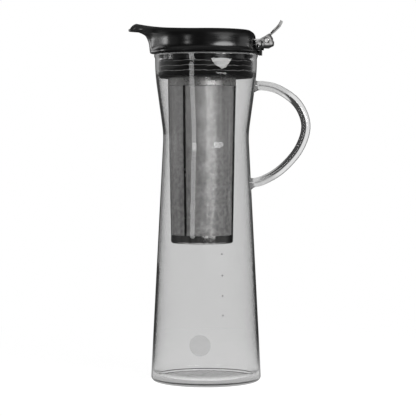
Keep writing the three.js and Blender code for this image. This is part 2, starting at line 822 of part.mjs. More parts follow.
function makeLever() {
  const footHeight = flapTop + seatGap + steel / 2;
  const throatHeight = pivotHeight + throatRise;
  const line = [
    [0, footHeight],
    [flapRadius + throatLead, footHeight, bendRound],
    [pivotX - throatNear, throatHeight, bendRound],
    [pivotX - throatFar, throatHeight, bendRound],
    ...thumbShares.map(([out, up, round]) => [
      pivotX + thumbReach * out, pivotHeight + thumbRise * up, thumbRise * round,
    ]),
  ];
  const footEnd = flapRadius - footLength;
  const half = [
    [footEnd, footHalfWidth, footRound],
    [flapRadius, footHalfWidth],
    [flapRadius + throatLead, leverHalfWidth],
    [pivotX + thumbStart, leverHalfWidth, bendRound / 2],
    [pivotX + thumbStart + bendRound, thumbHalfWidth, bendRound],
    [pivotX + thumbReach + steel, thumbHalfWidth, thumbRound],
  ];
  const mirrored = half.toReversed().map(([x, y, round]) => [x, -y, round]);
  const strip = sidePlate(sheetOutline(line, steel), 4 * thumbHalfWidth)
    .intersect(planPrism(rounded([...half, ...mirrored]), flangeLow, lidTop + overrun));
  const lever = strip.add(crossBar(knuckleRadius, leverHalfWidth));
  return drillForRivets(lever.subtract(crossBar(pinRadius + pinGap, overrun)));
}

addPiece('thumb_lever', makeLever(), looks.steel);

// Rivet: a shank through foot and flap, with a domed head above and a flat one below.
function makeRivet(x) {
  const headLow = flapTop + seatGap + steel + seatGap;
  const tailHigh = flapLow - seatGap;
  const outline = rounded([
    [0, tailHigh - rivetHead],
    [rivetHeadRadius, tailHigh - rivetHead],
    [rivetHeadRadius, tailHigh],
    [rivetRadius, tailHigh],
    [rivetRadius, headLow],
    [rivetHeadRadius, headLow],
    [rivetHeadRadius, headLow + rivetHead, rivetHead * 3 / 4],
    [0, headLow + rivetHead],
  ], false);
  return revolvePoints(outline, rodSides, x);
}

rivetPlaces.forEach((x, i) => addPiece(`flap_rivet_${i + 1}`, makeRivet(x), looks.steel));

export default object;
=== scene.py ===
# %% [markdown]
# # A cold brew coffee pitcher
# The object is a tall glass pitcher with a rod handle, a steel mesh strainer that hangs in its
# neck, and a black lid with a steel flap that a thumb lever opens. The packed CAD model is the
# frame. Its solids could be bevelled and coloured as they are, but their facets would show, so
# each piece below is made anew in the place of a CAD node, at the same size, with smooth surfaces,
# rounded edges and a finish of its own.

# %% Load the frame
import math

import bmesh
import bpy
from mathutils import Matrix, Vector


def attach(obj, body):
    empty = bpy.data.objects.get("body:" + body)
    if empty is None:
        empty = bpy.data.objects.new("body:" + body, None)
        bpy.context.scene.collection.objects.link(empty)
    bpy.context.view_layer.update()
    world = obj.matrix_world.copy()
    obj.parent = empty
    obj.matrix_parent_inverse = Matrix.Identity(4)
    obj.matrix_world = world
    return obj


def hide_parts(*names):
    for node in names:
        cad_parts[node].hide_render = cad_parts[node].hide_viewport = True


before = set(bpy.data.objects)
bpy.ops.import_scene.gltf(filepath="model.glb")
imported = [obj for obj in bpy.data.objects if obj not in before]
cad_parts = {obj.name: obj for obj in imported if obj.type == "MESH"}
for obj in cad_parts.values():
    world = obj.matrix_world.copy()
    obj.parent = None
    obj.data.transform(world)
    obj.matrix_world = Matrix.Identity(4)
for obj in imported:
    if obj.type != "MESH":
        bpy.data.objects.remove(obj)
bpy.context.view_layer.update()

# %% [markdown]
# ## Camera
# The photograph was taken from a little over one metre away, slightly from the right and from
# above. A camera can be framed by a shift of its lens or by where it looks. Here a long lens looks
# at the middle of the pitcher, which keeps the sides nearly parallel without any shift.

# %% Set up the camera
MM = 0.001
scene = bpy.context.scene
view_angle = math.radians(7)
view_distance, view_height, aim_height, aim_right = 1368, 197, 140.9, 1.63


def link(obj):
    scene.collection.objects.link(obj)
    return obj


def point_at(obj, place, target):
    """Puts a camera or lamp at a place, in millimetres, and turns it to a target."""
    obj.location = Vector(place) * MM
    obj.rotation_euler = (Vector(target) - Vector(place)).to_track_quat("-Z", "Y").to_euler()


def around(turn, distance, height):
    """A place round the pitcher. Turn is in degrees, to the right of the camera's picture."""
    angle = view_angle + math.radians(turn)
    return (distance * math.sin(angle), -distance * math.cos(angle), height)


camera = link(bpy.data.objects.new("camera", bpy.data.cameras.new("camera")))
camera.data.sensor_width, camera.data.lens, camera.data.clip_end = 36, 145.4, 20
point_at(camera, around(0, view_distance, view_height),
         (aim_right * math.cos(view_angle), aim_right * math.sin(view_angle), aim_height))
scene.camera = camera
print("camera at", [round(v, 3) for v in camera.location])

# %% [markdown]
# ## Shader maths
# Every finish here is a chain of nodes. They could be wired by hand in the node editor, or one by
# one in code, but a sum of three values is then two nodes and four links. So a small class wraps a
# node's output and lets Python's own operators add the Math nodes.

# %% Write shader maths as Python
class Signal:
    """The output of a node. Sums and products of it add Math nodes."""

    def __init__(self, shader, socket):
        self.shader, self.socket = shader, socket

    def maths(self, operation, *values):
        return self.shader.node("ShaderNodeMath", {"operation": operation}, dict(enumerate(values)))

    def __add__(self, other):
        return self.maths("ADD", self, other)

    def __sub__(self, other):
        return self.maths("SUBTRACT", self, other)

    def __rsub__(self, other):
        return self.maths("SUBTRACT", other, self)

    def __mul__(self, other):
        return self.maths("MULTIPLY", self, other)

    def __truediv__(self, other):
        return self.maths("DIVIDE", self, other)

    def __rtruediv__(self, other):
        return self.maths("DIVIDE", other, self)

    __radd__, __rmul__ = __add__, __mul__

    def highest(self, other):
        return self.maths("MAXIMUM", self, other)

    def least(self, other):
        return self.maths("MINIMUM", self, other)

    def size(self):
        return self.maths("ABSOLUTE", self)

    def root(self):
        return self.maths("SQRT", self)

    def sine(self):
        return self.maths("SINE", self)

    def turn(self, other):
        """The angle of the point (other, self) round the axis."""
        return self.maths("ARCTAN2", self, other)

    def ease(self, low, high):
        """Stretches the part between low and high to 0 to 1, with soft ends."""
        return self.shader.node("ShaderNodeMapRange", {"interpolation_type": "SMOOTHSTEP"},
                                {"Value": self, "From Min": low, "From Max": high})


print("shader maths:", ", ".join(name for name in vars(Signal) if not name.startswith("_")))

# %% [markdown]
# ## Nodes of a finish
# All other nodes come from one method, which takes the node's type, its settings and the values of
# its sockets. Short methods on top of it name what the finishes of this pitcher ask for, such as
# the place on the piece in millimetres, a noise, a dent or a layer.

# %% Build finishes from nodes
class Shader:
    """The nodes of one material or lamp, or of the world."""

    def __init__(self, owner):
        self.owner = owner
        owner.use_nodes = True
        self.tree = owner.node_tree
        self.tree.nodes.clear()

    def node(self, kind, settings=None, inputs=None, output=0):
        made = self.tree.nodes.new(kind)
        for name, value in (settings or {}).items():
            setattr(made, name, value)
        for name, value in (inputs or {}).items():
            if isinstance(value, Signal):
                self.tree.links.new(value.socket, made.inputs[name])
            else:
                made.inputs[name].default_value = value
        return Signal(self, made.outputs[output] if made.outputs else None)

    def ray(self, *kinds):
        """1 for rays of any of these kinds, such as Camera or Glossy."""
        masks = [self.node("ShaderNodeLightPath", output=f"Is {kind} Ray") for kind in kinds]
        return masks[0] if len(masks) == 1 else masks[0].highest(self.ray(*kinds[1:]))

    def facing(self):
        """0 where the surface faces the eye, 1 where it is seen edge on."""
        return self.node("ShaderNodeLayerWeight", None, {"Blend": 0.5}, output="Facing")

    def place(self):
        """The point on the piece, in millimetres."""
        where = self.node("ShaderNodeTexCoord", output="Object")
        return self.stretch(where, (1 / MM, 1 / MM, 1 / MM))

    def stretch(self, vector, by):
        return self.node("ShaderNodeVectorMath", {"operation": "MULTIPLY"}, {0: vector, 1: by})

    def parts(self, vector):
        split = self.node("ShaderNodeSeparateXYZ", None, {0: vector}).socket.node
        return [Signal(self, socket) for socket in split.outputs]

    def noise(self, vector, scale, detail):
        return self.node("ShaderNodeTexNoise", None,
                         {"Vector": vector, "Scale": scale, "Detail": detail})

    def mix(self, factor, a, b):
        """A blend of two colours."""
        return self.node("ShaderNodeMix", {"data_type": "RGBA"}, {0: factor, 6: a, 7: b}, output=2)

    def bump(self, height, depth):
        """Dents as deep as depth, in millimetres."""
        return self.node("ShaderNodeBump", None, {"Height": height, "Distance": depth * MM})

    def solid(self, **inputs):
        """The surface of a solid thing. A name such as Base_Color stands for that socket."""
        sockets = {name.replace("_", " "): value for name, value in inputs.items()}
        return self.node("ShaderNodeBsdfPrincipled", None, sockets)

    def glow(self, level):
        """An even light, where a level of 1 is white."""
        return self.node("ShaderNodeEmission", None,
                         {"Color": level if isinstance(level, Signal) else grey(level)})

    def layer(self, factor, under, over):
        """One shader over another."""
        return self.node("ShaderNodeMixShader", None, {0: factor, 1: under, 2: over})

    def finish(self, surface, output="ShaderNodeOutputMaterial"):
        self.node(output, None, {"Surface": surface})
        return self.owner


def new_finish(name):
    return Shader(bpy.data.materials.new(name))


def grey(value, warmth=0.0):
    """A grey as an RGBA colour, a little warm or cool."""
    return (value * (1 + warmth), value, value * (1 - warmth), 1)


print("a warm grey:", grey(0.5, 0.01))

# %% [markdown]
# ## Glass finish
# The pitcher is blown borosilicate glass. A tinted transparent shell would be quicker, but then
# neither the heel nor the rod would bend the light, so this is refracting glass. Real glass in a
# white studio is drawn by its dark outlines, which are the edges of the studio seen through the
# wall. Here they are painted shade in the glass colour, set by how far the surface turns away from
# the eye, so they hold from every side. A painted dark ring at the heel and painted dark edges on
# the rod go with them. A pale layer paints a sheen on the fire-polished rim, on the sides of the
# neck and at the two welds.

# %% Glass sizes and finish
rim_height, neck_height, waist_height = 266, 250.5, 201
neck_radius, waist_radius, foot_radius, glass_wall = 41.35, 34.6, 45, 2
handle_top, handle_low, handle_reach, rod_radius = 240, 161, 81.2, 3.75
taper = (foot_radius - waist_radius) / waist_height
flare = (neck_radius - waist_radius) / (neck_height - waist_height)


def on_welds(x, y, z):
    """1 on the wall behind the two feet of the handle."""
    from_foot = (z - handle_top).size().least((z - handle_low).size())
    return (1 - y.size().ease(4, 7)) * (1 - from_foot.ease(5, 8)) * x.ease(0, 5)


def painted_outline_shade(shader, x, y, z, weld):
    """Painted shade: clear in the middle, dark along the outline and the heel, with softer dark
    edges on the rod.
    """
    wall_radius = (foot_radius - z * taper).highest((z - waist_height) * flare + waist_radius)
    rod = ((x * x + y * y).root() - wall_radius).ease(0.45, 0.7)
    # Painted shade: dark where the glass is seen edge on and in a ring at the heel; the rod darkens
    # towards its edges.
    outline = shader.facing().ease(0.745, 0.81) * (1 - weld)
    heel = z.ease(1.7, 2.1) * (1 - z.ease(3.0, 3.4))
    wall = shader.mix(outline.highest(heel), grey(0.8), grey(0.025))
    rod_tone = shader.mix(shader.facing().ease(0.32, 0.55), grey(0.78), grey(0.15))
    return shader.mix(rod, wall, rod_tone)


def painted_sheen(shader, z, weld):
    """How much painted sheen the glass gets: on the sides of the neck, along the rim and at the
    welds.
    """
    facing = shader.facing()
    neck_side_sheen = z.ease(249, 253) * facing.ease(0.5, 0.66) * (1 - facing.ease(0.78, 0.88)) * 0.5
    rim_sheen = z.ease(rim_height - 1.7, rim_height - 0.8) * 0.4
    return neck_side_sheen.highest(rim_sheen).highest(weld * 0.3)


def make_glass(name, outer_side):
    shader = new_finish(name)
    tone = grey(0.8)
    if outer_side:
        x, y, z = shader.parts(shader.place())
        weld = on_welds(x, y, z)
        tone = painted_outline_shade(shader, x, y, z, weld)
    glass = shader.solid(Base_Color=tone, Roughness=0.0, IOR=1.47, Transmission_Weight=1.0)
    if outer_side:
        # The pale layer paints a sheen on the glass.
        sheen_coat = shader.solid(Base_Color=grey(0.5), Roughness=0.3)
        glass = shader.layer(painted_sheen(shader, z, weld), glass, sheen_coat)
    clear = shader.node("ShaderNodeBsdfTransparent", None, {"Color": grey(0.92)})
    passing = shader.ray("Shadow", "Diffuse", "Reflection")
    return shader.finish(shader.layer(passing, glass, clear))


glass_finish = make_glass("clear glass", True)
inner_finish = make_glass("inner glass", False)
print("glass finishes:", glass_finish.name, "and", inner_finish.name)

# %% [markdown]
# ## Rounded outlines
# Nearly every piece starts as a side view or a plan whose corners are rounded: the heel of the
# glass, the lip of a sheet, the lobes of the gasket. A Bevel modifier could round the finished
# mesh, but it rounds all edges alike. Here each corner carries its own radius, and the arc gets as
# many points as its size needs.

# %% Round the corners of an outline
def rounded(corners, closed=True, chord=0.006):
    """Rounds the corners of an outline. A corner is (x, y) or (x, y, radius)."""
    points, count = [], len(corners)
    for i, corner in enumerate(corners):
        here = Vector(corner[:2])
        radius = corner[2] if len(corner) > 2 else 0
        if radius == 0 or (not closed and i in (0, count - 1)):
            points.append(here)
            continue
        back = (Vector(corners[i - 1][:2]) - here).normalized()
        onward = (Vector(corners[(i + 1) % count][:2]) - here).normalized()
        turn = math.pi - math.acos(max(-1, min(1, back.dot(onward))))
        middle = here + (back + onward).normalized() * radius / math.cos(turn / 2)
        start = here + back * radius * math.tan(turn / 2) - middle
        sign = 1 if onward.x * back.y - onward.y * back.x > 0 else -1
        steps = max(3, math.ceil(turn / (2 * math.acos(1 - min(1, chord / radius)))))
        for step in range(steps + 1):
            c, s = math.cos(sign * turn * step / steps), math.sin(sign * turn * step / steps)
            points.append(middle + Vector((start.x * c - start.y * s, start.x * s + start.y * c)))
    return points


sample = rounded([(0, 0), (9, 0, 4), (9, 9)], closed=False)
print("points round one corner of 4 mm:", len(sample[1:-1]))

# %% [markdown]
# ## Meshes from rings
# The blown body, the band, the cup and the collar are round, the rod and the lever are bent, and
# the lid is moulded. A Screw modifier turns only the first kind. One skin over a row of rings makes
# all three. For a turned piece each ring is a circle, as wide and as high as one outline point.

# %% Draw a skin over rings
def soften(obj, crease=30):
    """Joins equal points, turns faces outwards and shades smooth up to a crease in degrees."""
    solid = bmesh.new()
    solid.from_mesh(obj.data)
    bmesh.ops.remove_doubles(solid, verts=solid.verts, dist=2e-7)
    bmesh.ops.recalc_face_normals(solid, faces=solid.faces)
    for face in solid.faces:
        face.smooth = True
    for edge in solid.edges:
        bend = edge.calc_face_angle(0) if len(edge.link_faces) == 2 else math.pi
        edge.smooth = bend < math.radians(crease)
    solid.to_mesh(obj.data)
    solid.free()
    return obj


def piece(name, points, faces, crease=30):
    mesh = bpy.data.meshes.new(name)
    mesh.from_pydata([Vector(p) * MM for p in points], [], faces)
    return soften(link(bpy.data.objects.new(name, mesh)), crease)


def strips(base, count):
    """Faces that close a mirrored ring, from each point to its mirror image."""
    half = count // 2
    faces = [(base + i, base + i + 1, base + count - i - 1, base + count - i)
             for i in range(1, half - 1)]
    first = (base, base + 1, base + count - 1)
    last = (base + half - 1, base + half, base + half + 1)
    return [first, *faces, last]


def skin(name, rings, looped=False, crease=30, mirrored=False):
    """A closed skin over rings of equally many points, capped unless the rings form a loop."""
    count, levels = len(rings[0]), len(rings)
    points = [point for ring in rings for point in ring]
    faces = []
    for level in range(levels if looped else levels - 1):
        low, high = level * count, (level + 1) % levels * count
        faces += [(low + i, low + (i + 1) % count, high + (i + 1) % count, high + i)
                  for i in range(count)]
    if not looped:
        for base in (0, (levels - 1) * count):
            faces += strips(base, count) if mirrored else [tuple(range(base, base + count))]
    return piece(name, points, faces, crease)


def circle(sides):
    return [(math.cos(2 * math.pi * i / sides), math.sin(2 * math.pi * i / sides))
            for i in range(sides)]


def turned(name, outline, sides=160, x=0.0):
    """Turns an outline of (radius, height) points round an upright axis at x."""
    rings = [[(x + r * c, r * s, z) for c, s in circle(sides)] for r, z in outline]
    return skin(name, rings, looped=outline[0][0] > 1e-9)


print("points round a circle of 160 sides:", len(circle(160)))

# %% [markdown]
# ## Glass body
# The glass tapers from a thick foot to a waist, and flares to a neck with a polished bead at its
# rim. The wall is two millimetres of solid glass between an outer and an inner surface, as blown
# glass is. A Solidify modifier could thicken one surface, but the foot is thicker than the wall, so
# both surfaces are drawn and turned as one outline.

# %% Turn the glass body
bead, bead_round, floor_height = 0.75, 0.95, 3
outside = rounded([
    (0, 0), (foot_radius, 0, 4), (waist_radius, waist_height, 80), (neck_radius, neck_height, 150),
    (neck_radius, rim_height - 4), (neck_radius + bead, rim_height - 2),
    (neck_radius + bead, rim_height, bead_round),
    (neck_radius - glass_wall, rim_height, bead_round), (neck_radius - glass_wall, neck_height),
], closed=False)
inside = rounded([
    (0, floor_height), (foot_radius - glass_wall, floor_height, 6),
    (waist_radius - glass_wall, waist_height, 80), (neck_radius - glass_wall, neck_height, 150),
    (neck_radius - glass_wall, rim_height),
], closed=False)


def radius_at(outline, height):
    """Radius of an outline of (radius, height) points at one height."""
    for low, high in zip(outline, outline[1:]):
        if low.y < height <= high.y:
            return low.x + (high.x - low.x) * (height - low.y) / (high.y - low.y)
    raise ValueError(f"the outline doesn't reach {height}")


glass = turned("glass_pitcher", outside[:-1] + inside[:-1][::-1], sides=224)
print(f"waist {2 * radius_at(outside, waist_height):.1f} mm across")

# %% [markdown]
# ## Glass handle
# The handle is a solid glass rod, bent into a D while it is hot. A curve with a round bevel gives
# such a rod, but not the feet that spread where it is pressed on the wall. So the rod is a skin
# over round sections along a smooth path, and the sections widen towards both ends.

# %% Lay the path of the rod
bend_shares = [(0.112, 1.003), (0.43, 0.965), (0.827, 0.818), (1, 0.6), (0.87, 0.365),
               (0.48, 0.138), (0.103, 0.028)]
rod_inset, foot_spread, foot_length = 1.2, 1.3, 3.2


def smooth_path(knots, steps):
    """A centripetal Catmull-Rom curve through the knots."""
    ends = [2 * knots[0] - knots[1], *knots, 2 * knots[-1] - knots[-2]]
    path = []
    for p0, p1, p2, p3 in zip(ends, ends[1:], ends[2:], ends[3:]):
        t0 = (p1 - p0).length ** 0.5
        t1 = t0 + (p2 - p1).length ** 0.5
        t2 = t1 + (p3 - p2).length ** 0.5
        for step in range(steps):
            t = t0 + (t1 - t0) * step / steps
            a1 = p0.lerp(p1, t / t0)
            a2 = p1.lerp(p2, (t - t0) / (t1 - t0))
            a3 = p2.lerp(p3, (t - t1) / (t2 - t1))
            b1, b2 = a1.lerp(a2, t / t1), a2.lerp(a3, (t - t0) / (t2 - t0))
            path.append(b1.lerp(b2, (t - t0) / (t1 - t0)))
    return path + [knots[-1]]


def rod_path():
    """From inside the wall at the top weld, out round the hand, and back in at the low weld."""
    top, low = (Vector((radius_at(outside, z), z)) for z in (handle_top, handle_low))
    bend = [Vector((neck_radius + (handle_reach - neck_radius) * out,
                    handle_low + (handle_top - handle_low) * up)) for out, up in bend_shares]
    return smooth_path([top - Vector((rod_inset, 0)), top + Vector((2, 0.1)), *bend,
                        low + Vector((2, 0.6)), low - Vector((rod_inset, 0))], 24)


print("rod reaches", round(max(p.x for p in rod_path()), 1), "mm from the axis to its centre line")

# %% Draw the rod
def rod_rings(path, sides=80):
    """Round sections square to the path, which spread towards its two ends."""
    run = [0.0]
    for a, b in zip(path, path[1:]):
        run.append(run[-1] + (b - a).length)
    rings = []
    for i, here in enumerate(path):
        ahead = (path[min(i + 1, len(path) - 1)] - path[max(i - 1, 0)]).normalized()
        if i in (0, len(path) - 1):
            ahead = Vector((math.copysign(1, ahead.x), 0))
        from_wall = max(0, min(run[i], run[-1] - run[i]) - rod_inset)
        radius = rod_radius + foot_spread * max(0, 1 - from_wall / foot_length) ** 2.2
        rings.append([(here.x - ahead.y * radius * c, radius * s, here.y + ahead.x * radius * c)
                      for c, s in circle(sides)])
    return rings


handle = skin("rod", rod_rings(rod_path()))
print("rod of", len(handle.data.polygons), "faces")

# %% [markdown]
# ## The weld
# On the real pitcher the rod and the wall melt into one another. Two glass meshes that overlap
# would bend the light twice where they meet, so the rod is joined to the body by a boolean, and the
# two become one closed solid of glass. The dark outlines belong to the outer side alone, so the
# faces that look inwards, and the flat ones of foot and floor, get the plain glass.

# %% Join the rod to the body
def settle(obj):
    """Replaces a mesh by what its modifiers make of it."""
    bpy.context.view_layer.update()
    graph = bpy.context.evaluated_depsgraph_get()
    made = bpy.data.meshes.new_from_object(obj.evaluated_get(graph))
    obj.modifiers.clear()
    old, obj.data = obj.data, made
    bpy.data.meshes.remove(old)
    return obj


def combine(obj, how, *tools):
    for tool in tools:
        step = obj.modifiers.new(how, "BOOLEAN")
        step.operation, step.solver, step.object = how, "EXACT", tool
        settle(obj)
        if not obj.data.polygons:
            raise ValueError(f"nothing is left of {obj.name} after {how} with {tool.name}")
        bpy.data.meshes.remove(tool.data)
    return obj


def join(obj, *tools):
    return combine(obj, "UNION", *tools)


def dress(obj, body, nodes, finish):
    """Gives a piece its material, its body, the CAD nodes that it stands for and its slot."""
    obj.data.materials.clear()
    obj.data.materials.append(finish)
    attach(obj, body)
    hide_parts(*nodes)
    print(f"{obj.name}: {len(obj.data.polygons)} faces, "
          f"{' x '.join(f'{1000 * v:.1f}' for v in obj.dimensions)} mm")
    return obj


soften(join(glass, handle), 40)
dress(glass, "pitcher", ["glass_body", "glass_handle"], glass_finish)
glass.data.materials.append(inner_finish)
for face in glass.data.polygons:
    out = Vector((*face.center.xy, 0))
    inward = out.length < neck_radius * MM and face.normal.dot(out.normalized()) < -0.1
    if inward or abs(face.normal.z) > 0.8:
        face.material_index = 1

# %% [markdown]
# ## Steel finish
# Band, cup, lever, flap and bracket are stainless sheet, pressed or bent and then polished. A flat
# metal colour looks like chrome paint. Rolled steel has clouds where it was polished more or less,
# and fine scratches, so a noise shifts colour and roughness and a stretched noise makes shallow
# dents. The cup also gets dark streaks and dark edges, which are painted reflections. The small
# bent parts get deep dark patches, which are painted reflections too, and painted shade along their
# lower edges.

# %% Make the steels
def make_steel(name, shade, rough, metal=1.0, patches=0.86, painted_streaks=False, painted_shade_below=None):
    """Polished steel. Patches is the share of the shade that is left in its darker clouds; low
    shares paint dark mottled reflections. Drawn steel gets dark streaks and edges, which are
    painted reflections, and below a given height the colour is darkened as painted shade.
    """
    shader = new_finish(name)
    where = shader.place()
    cloud = shader.noise(where, 0.35, 3).ease(0.35, 0.7)
    scratch = shader.noise(shader.stretch(where, (6, 6, 0.25)), 1.0, 4)
    tone = shader.mix(cloud, grey(shade, 0.01), grey(shade * patches, 0.01))
    if painted_shade_below:
        _, _, z = shader.parts(where)
        # Painted shade: the colour goes dark below the given height.
        tone = shader.mix(z.ease(painted_shade_below - 0.7, painted_shade_below + 0.7), grey(0.03), tone)
    if painted_streaks:
        # Painted reflections: dark streaks, and dark edges where the steel is seen at a slant.
        streak = shader.noise(shader.stretch(where, (1, 1, 0.05)), 0.24, 3).ease(0.42, 0.62) * 0.45
        tone = shader.mix(streak.highest(shader.facing().ease(0.3, 0.6)), tone, grey(0.06))
    dents = shader.bump(scratch, 0.004)
    return shader.finish(shader.solid(Base_Color=tone, Metallic=metal, Normal=dents,
                                      Roughness=cloud * 0.08 + rough))


steel_finish = make_steel("polished steel", 0.62, 0.16)
pressed_finish = make_steel("pressed steel", 0.9, 0.1, painted_streaks=True)
# The seam strip's very dark colour is painted shade for the seam's dark line.
shaded_seam_finish = make_steel("dark steel", 0.2, 0.2)
# The bent steel's deep dark patches and dark lower edges are painted reflections and painted shade.
bent_finish = make_steel("bent steel", 0.5, 0.14, patches=0.2, painted_shade_below=272.6)
satin_finish = make_steel("satin steel", 0.85, 0.26, 0.8)
print("steels:", ", ".join(m.name for m in bpy.data.materials if m.name.endswith(" steel")))

# %% [markdown]
# ## Strainer band
# The strainer hangs by a steel band, whose lip is turned outwards and rests on the collar. Being
# round, it could start from a cylinder, but then lip, wall and rounded edge would be three steps.
# One outline of 0.6 mm sheet holds all three. The strainer hangs a little nearer to the spout than
# the axis, so the pieces are turned round an axis of their own.

# %% Turn the strainer band
strainer_x, strainer_top, strainer_low_radius = -3.3, 27.6, 25.2
collar_low, strainer_low, band_low = 246.3, 112.6, 240.3
gap, band_sheet, lip_width, collar_floor = 0.3, 0.6, 2.6, 2
band_top = collar_low + collar_floor + gap
band = turned("strainer_band", rounded([
    (strainer_top - band_sheet, band_low), (strainer_top, band_low), (strainer_top, band_top),
    (strainer_top + lip_width, band_top), (strainer_top + lip_width, band_top + band_sheet),
    (strainer_top - band_sheet, band_top + band_sheet, 0.4)]), x=strainer_x)
dress(band, "strainer", ["strainer_rim"], satin_finish)

# %% [markdown]
# ## Mesh finish
# The wall of the strainer is woven from steel wire far finer than a millimetre. Wires as geometry
# would need millions of faces, and an image of them is not used here. So the weave is worked out
# from the angle round the axis and the height: two families of sine waves stand for the wires, each
# passes over and under the other, and the holes between them are clear. Noise at two scales makes
# the cloth uneven, as the photograph shows it.

# %% Weave the mesh finish
mesh_wires, wire_pitch = 200, 0.86


def uneven(shader, z):
    """Blotches, stronger towards the foot, and upright streaks."""
    blotch = shader.noise(shader.place(), 0.3, 1).ease(0.38, 0.62) * (1 - z.ease(150, 220) * 0.5)
    streak = shader.noise(shader.stretch(shader.place(), (1, 1, 0.02)), 0.4, 2).ease(0.3, 0.7)
    return blotch * 0.6 + streak * 0.4


def make_weave():
    shader = new_finish("steel mesh")
    x, y, z = shader.parts(shader.place())
    warp = y.turn(x - strainer_x) * (mesh_wires / 2)
    weft = z * (math.pi / wire_pitch)
    over = warp.sine() * weft.sine()
    warp_wire = (warp + math.pi / 2).sine().size() * (over * 0.3 + 0.7)
    weft_wire = (weft + math.pi / 2).sine().size() * (0.7 - over * 0.3)
    wire = warp_wire.highest(weft_wire)
    worn = shader.mix(uneven(shader, z), grey(1.05, 0.01), grey(0.55, 0.01))
    tone = shader.mix(wire, grey(0.24), worn)
    # Painted shade: darker where the mesh is seen edge on and its holes close up, and darker still
    # along its right side.
    facing = shader.facing()
    tone = shader.mix(facing.ease(0.72, 0.92), tone, grey(0.1))
    tone = shader.mix(facing.ease(0.6, 0.7) * x.ease(5, 15), tone, grey(0.02))
    steel = shader.solid(Base_Color=tone, Metallic=0.55, Roughness=0.24,
                         Normal=shader.bump(wire, 0.04))
    clear = shader.node("ShaderNodeBsdfTransparent")
    return shader.finish(shader.layer(wire.ease(0.45, 0.55), clear, steel))


mesh_finish = make_weave()
print("wires round the mesh:", mesh_wires)

# %% [markdown]
# ## Mesh wall, cup and floor
# The mesh is rolled into a slightly tapered tube. A pressed steel cup closes its lower end and
# holds a disc of the same mesh. They could be one turned piece with two materials, but on the real
# strainer they are separate, so each is turned by itself and 0.3 mm is left between them.

# %% Turn the wall, the cup and the floor
cup_height, mesh_sheet, cup_ledge = 6.5, 0.5, 2.6
mesh_high, cup_top = band_low - gap, strainer_low + cup_height
mesh_low = cup_top + gap


def strainer_radius(height):
    share = (height - strainer_low) / (band_low - strainer_low)
    return strainer_low_radius + (strainer_top - strainer_low_radius) * share


heights = [mesh_low + (mesh_high - mesh_low) * i / 24 for i in range(25)]
mesh_wall = turned("strainer_wall", [(strainer_radius(z), z) for z in heights]
                   + [(strainer_radius(z) - mesh_sheet, z) for z in heights[::-1]], x=strainer_x)
dress(mesh_wall, "strainer", ["strainer_mesh"], mesh_finish)

cup = turned("strainer_cup_ring", rounded([
    (strainer_low_radius - cup_ledge, strainer_low), (strainer_low_radius, strainer_low, 1.6),
    (strainer_radius(cup_top), cup_top), (strainer_radius(cup_top) - band_sheet, cup_top),
    (strainer_low_radius - band_sheet, strainer_low + band_sheet, 1.0),
    (strainer_low_radius - cup_ledge, strainer_low + band_sheet)]), x=strainer_x)
dress(cup, "strainer", ["strainer_cup"], pressed_finish)

floor_low, floor_radius = strainer_low + band_sheet + gap, strainer_low_radius - band_sheet - gap
mesh_floor = turned("strainer_base", [
    (0, floor_low), (floor_radius, floor_low), (floor_radius, floor_low + mesh_sheet),
    (0, floor_low + mesh_sheet)], x=strainer_x)
dress(mesh_floor, "strainer", ["strainer_floor"], mesh_finish)

# %% [markdown]
# ## Seam
# Where the rolled mesh meets itself, a narrow strip of steel covers the joint. It shows as a dark
# upright line, and the strip's very dark steel colour is painted shade for that line. A stripe in
# the mesh's colour would look flat from the side, so the strip is real: small sections with sloping
# edges follow the taper of the wall from bottom to top.

# %% Lay the seam strip
def make_seam(angle=math.radians(23), width=2.0, off=0.3, thickness=0.4, steps=24):
    rings = []
    for i in range(steps + 1):
        z = mesh_low + (mesh_high - mesh_low) * i / steps
        r = strainer_radius(z) + off
        ring = []
        for across, out in ((-1, 0), (-0.9, 1), (0.9, 1), (1, 0)):
            turn = -math.pi / 2 - angle + across * width / 2 / r
            ring.append((strainer_x + (r + out * thickness) * math.cos(turn),
                         (r + out * thickness) * math.sin(turn), z))
        rings.append(ring)
    return skin("strainer_seam_strip", rings)


dress(make_seam(), "strainer", ["strainer_seam"], shaded_seam_finish)

# %% [markdown]
# ## Plastic finish
# Lid and collar are moulded in black plastic with a soft gloss. Pure black would lose the form, so
# the colour is a very dark grey, and the form is read from its highlights. A noise varies the gloss
# a little and a fine grain roughens it, as a mould does. In the photograph the shoulder mirrors
# less than the wall, so its gloss changes with the place on the piece, and the spout is a little
# paler, which is painted light in its colour.

# %% Mould the plastic finish
def make_plastic():
    shader = new_finish("black plastic")
    where = shader.place()
    x, _, z = shader.parts(where)
    grain, cloud = shader.noise(where, 2.2, 4), shader.noise(where, 0.06, 2)
    tone = shader.mix(cloud.ease(0.3, 0.7), grey(0.003), grey(0.005))
    # Painted light: the spout is a paler grey.
    tone = shader.mix((0 - x).ease(38, 50), tone, grey(0.024))
    glossy = shader.solid(Base_Color=tone, Roughness=cloud * 0.1 + 0.17,
                          Normal=shader.bump(grain, 0.006))
    dull = shader.solid(Base_Color=tone, Roughness=cloud * 0.1 + 0.3, Specular_IOR_Level=0.12)
    shoulder = z.ease(277, 280) * (1 - z.ease(284.2, 285))
    return shader.finish(shader.layer(shoulder, glossy, dull))


plastic_finish = make_plastic()
print("plastic:", plastic_finish.name)

# %% [markdown]
# ## Collar
# The collar is a black plastic cup without a bottom that sits in the neck. The strainer hangs from
# its floor, off centre, and the lid's skirt nests in it. The ring is turned round the pitcher's
# axis. Because its hole has another axis, it can't be in the same outline, and is cut out with a
# boolean.

# %% Turn the collar and cut its hole
collar_outer, skirt_bore, collar_top, gasket_seat = 37.4, 35.9, 261, 247.8
foot_reach = radius_at(inside, gasket_seat) - 2 * gap


def cut(obj, *tools):
    return combine(obj, "DIFFERENCE", *tools)


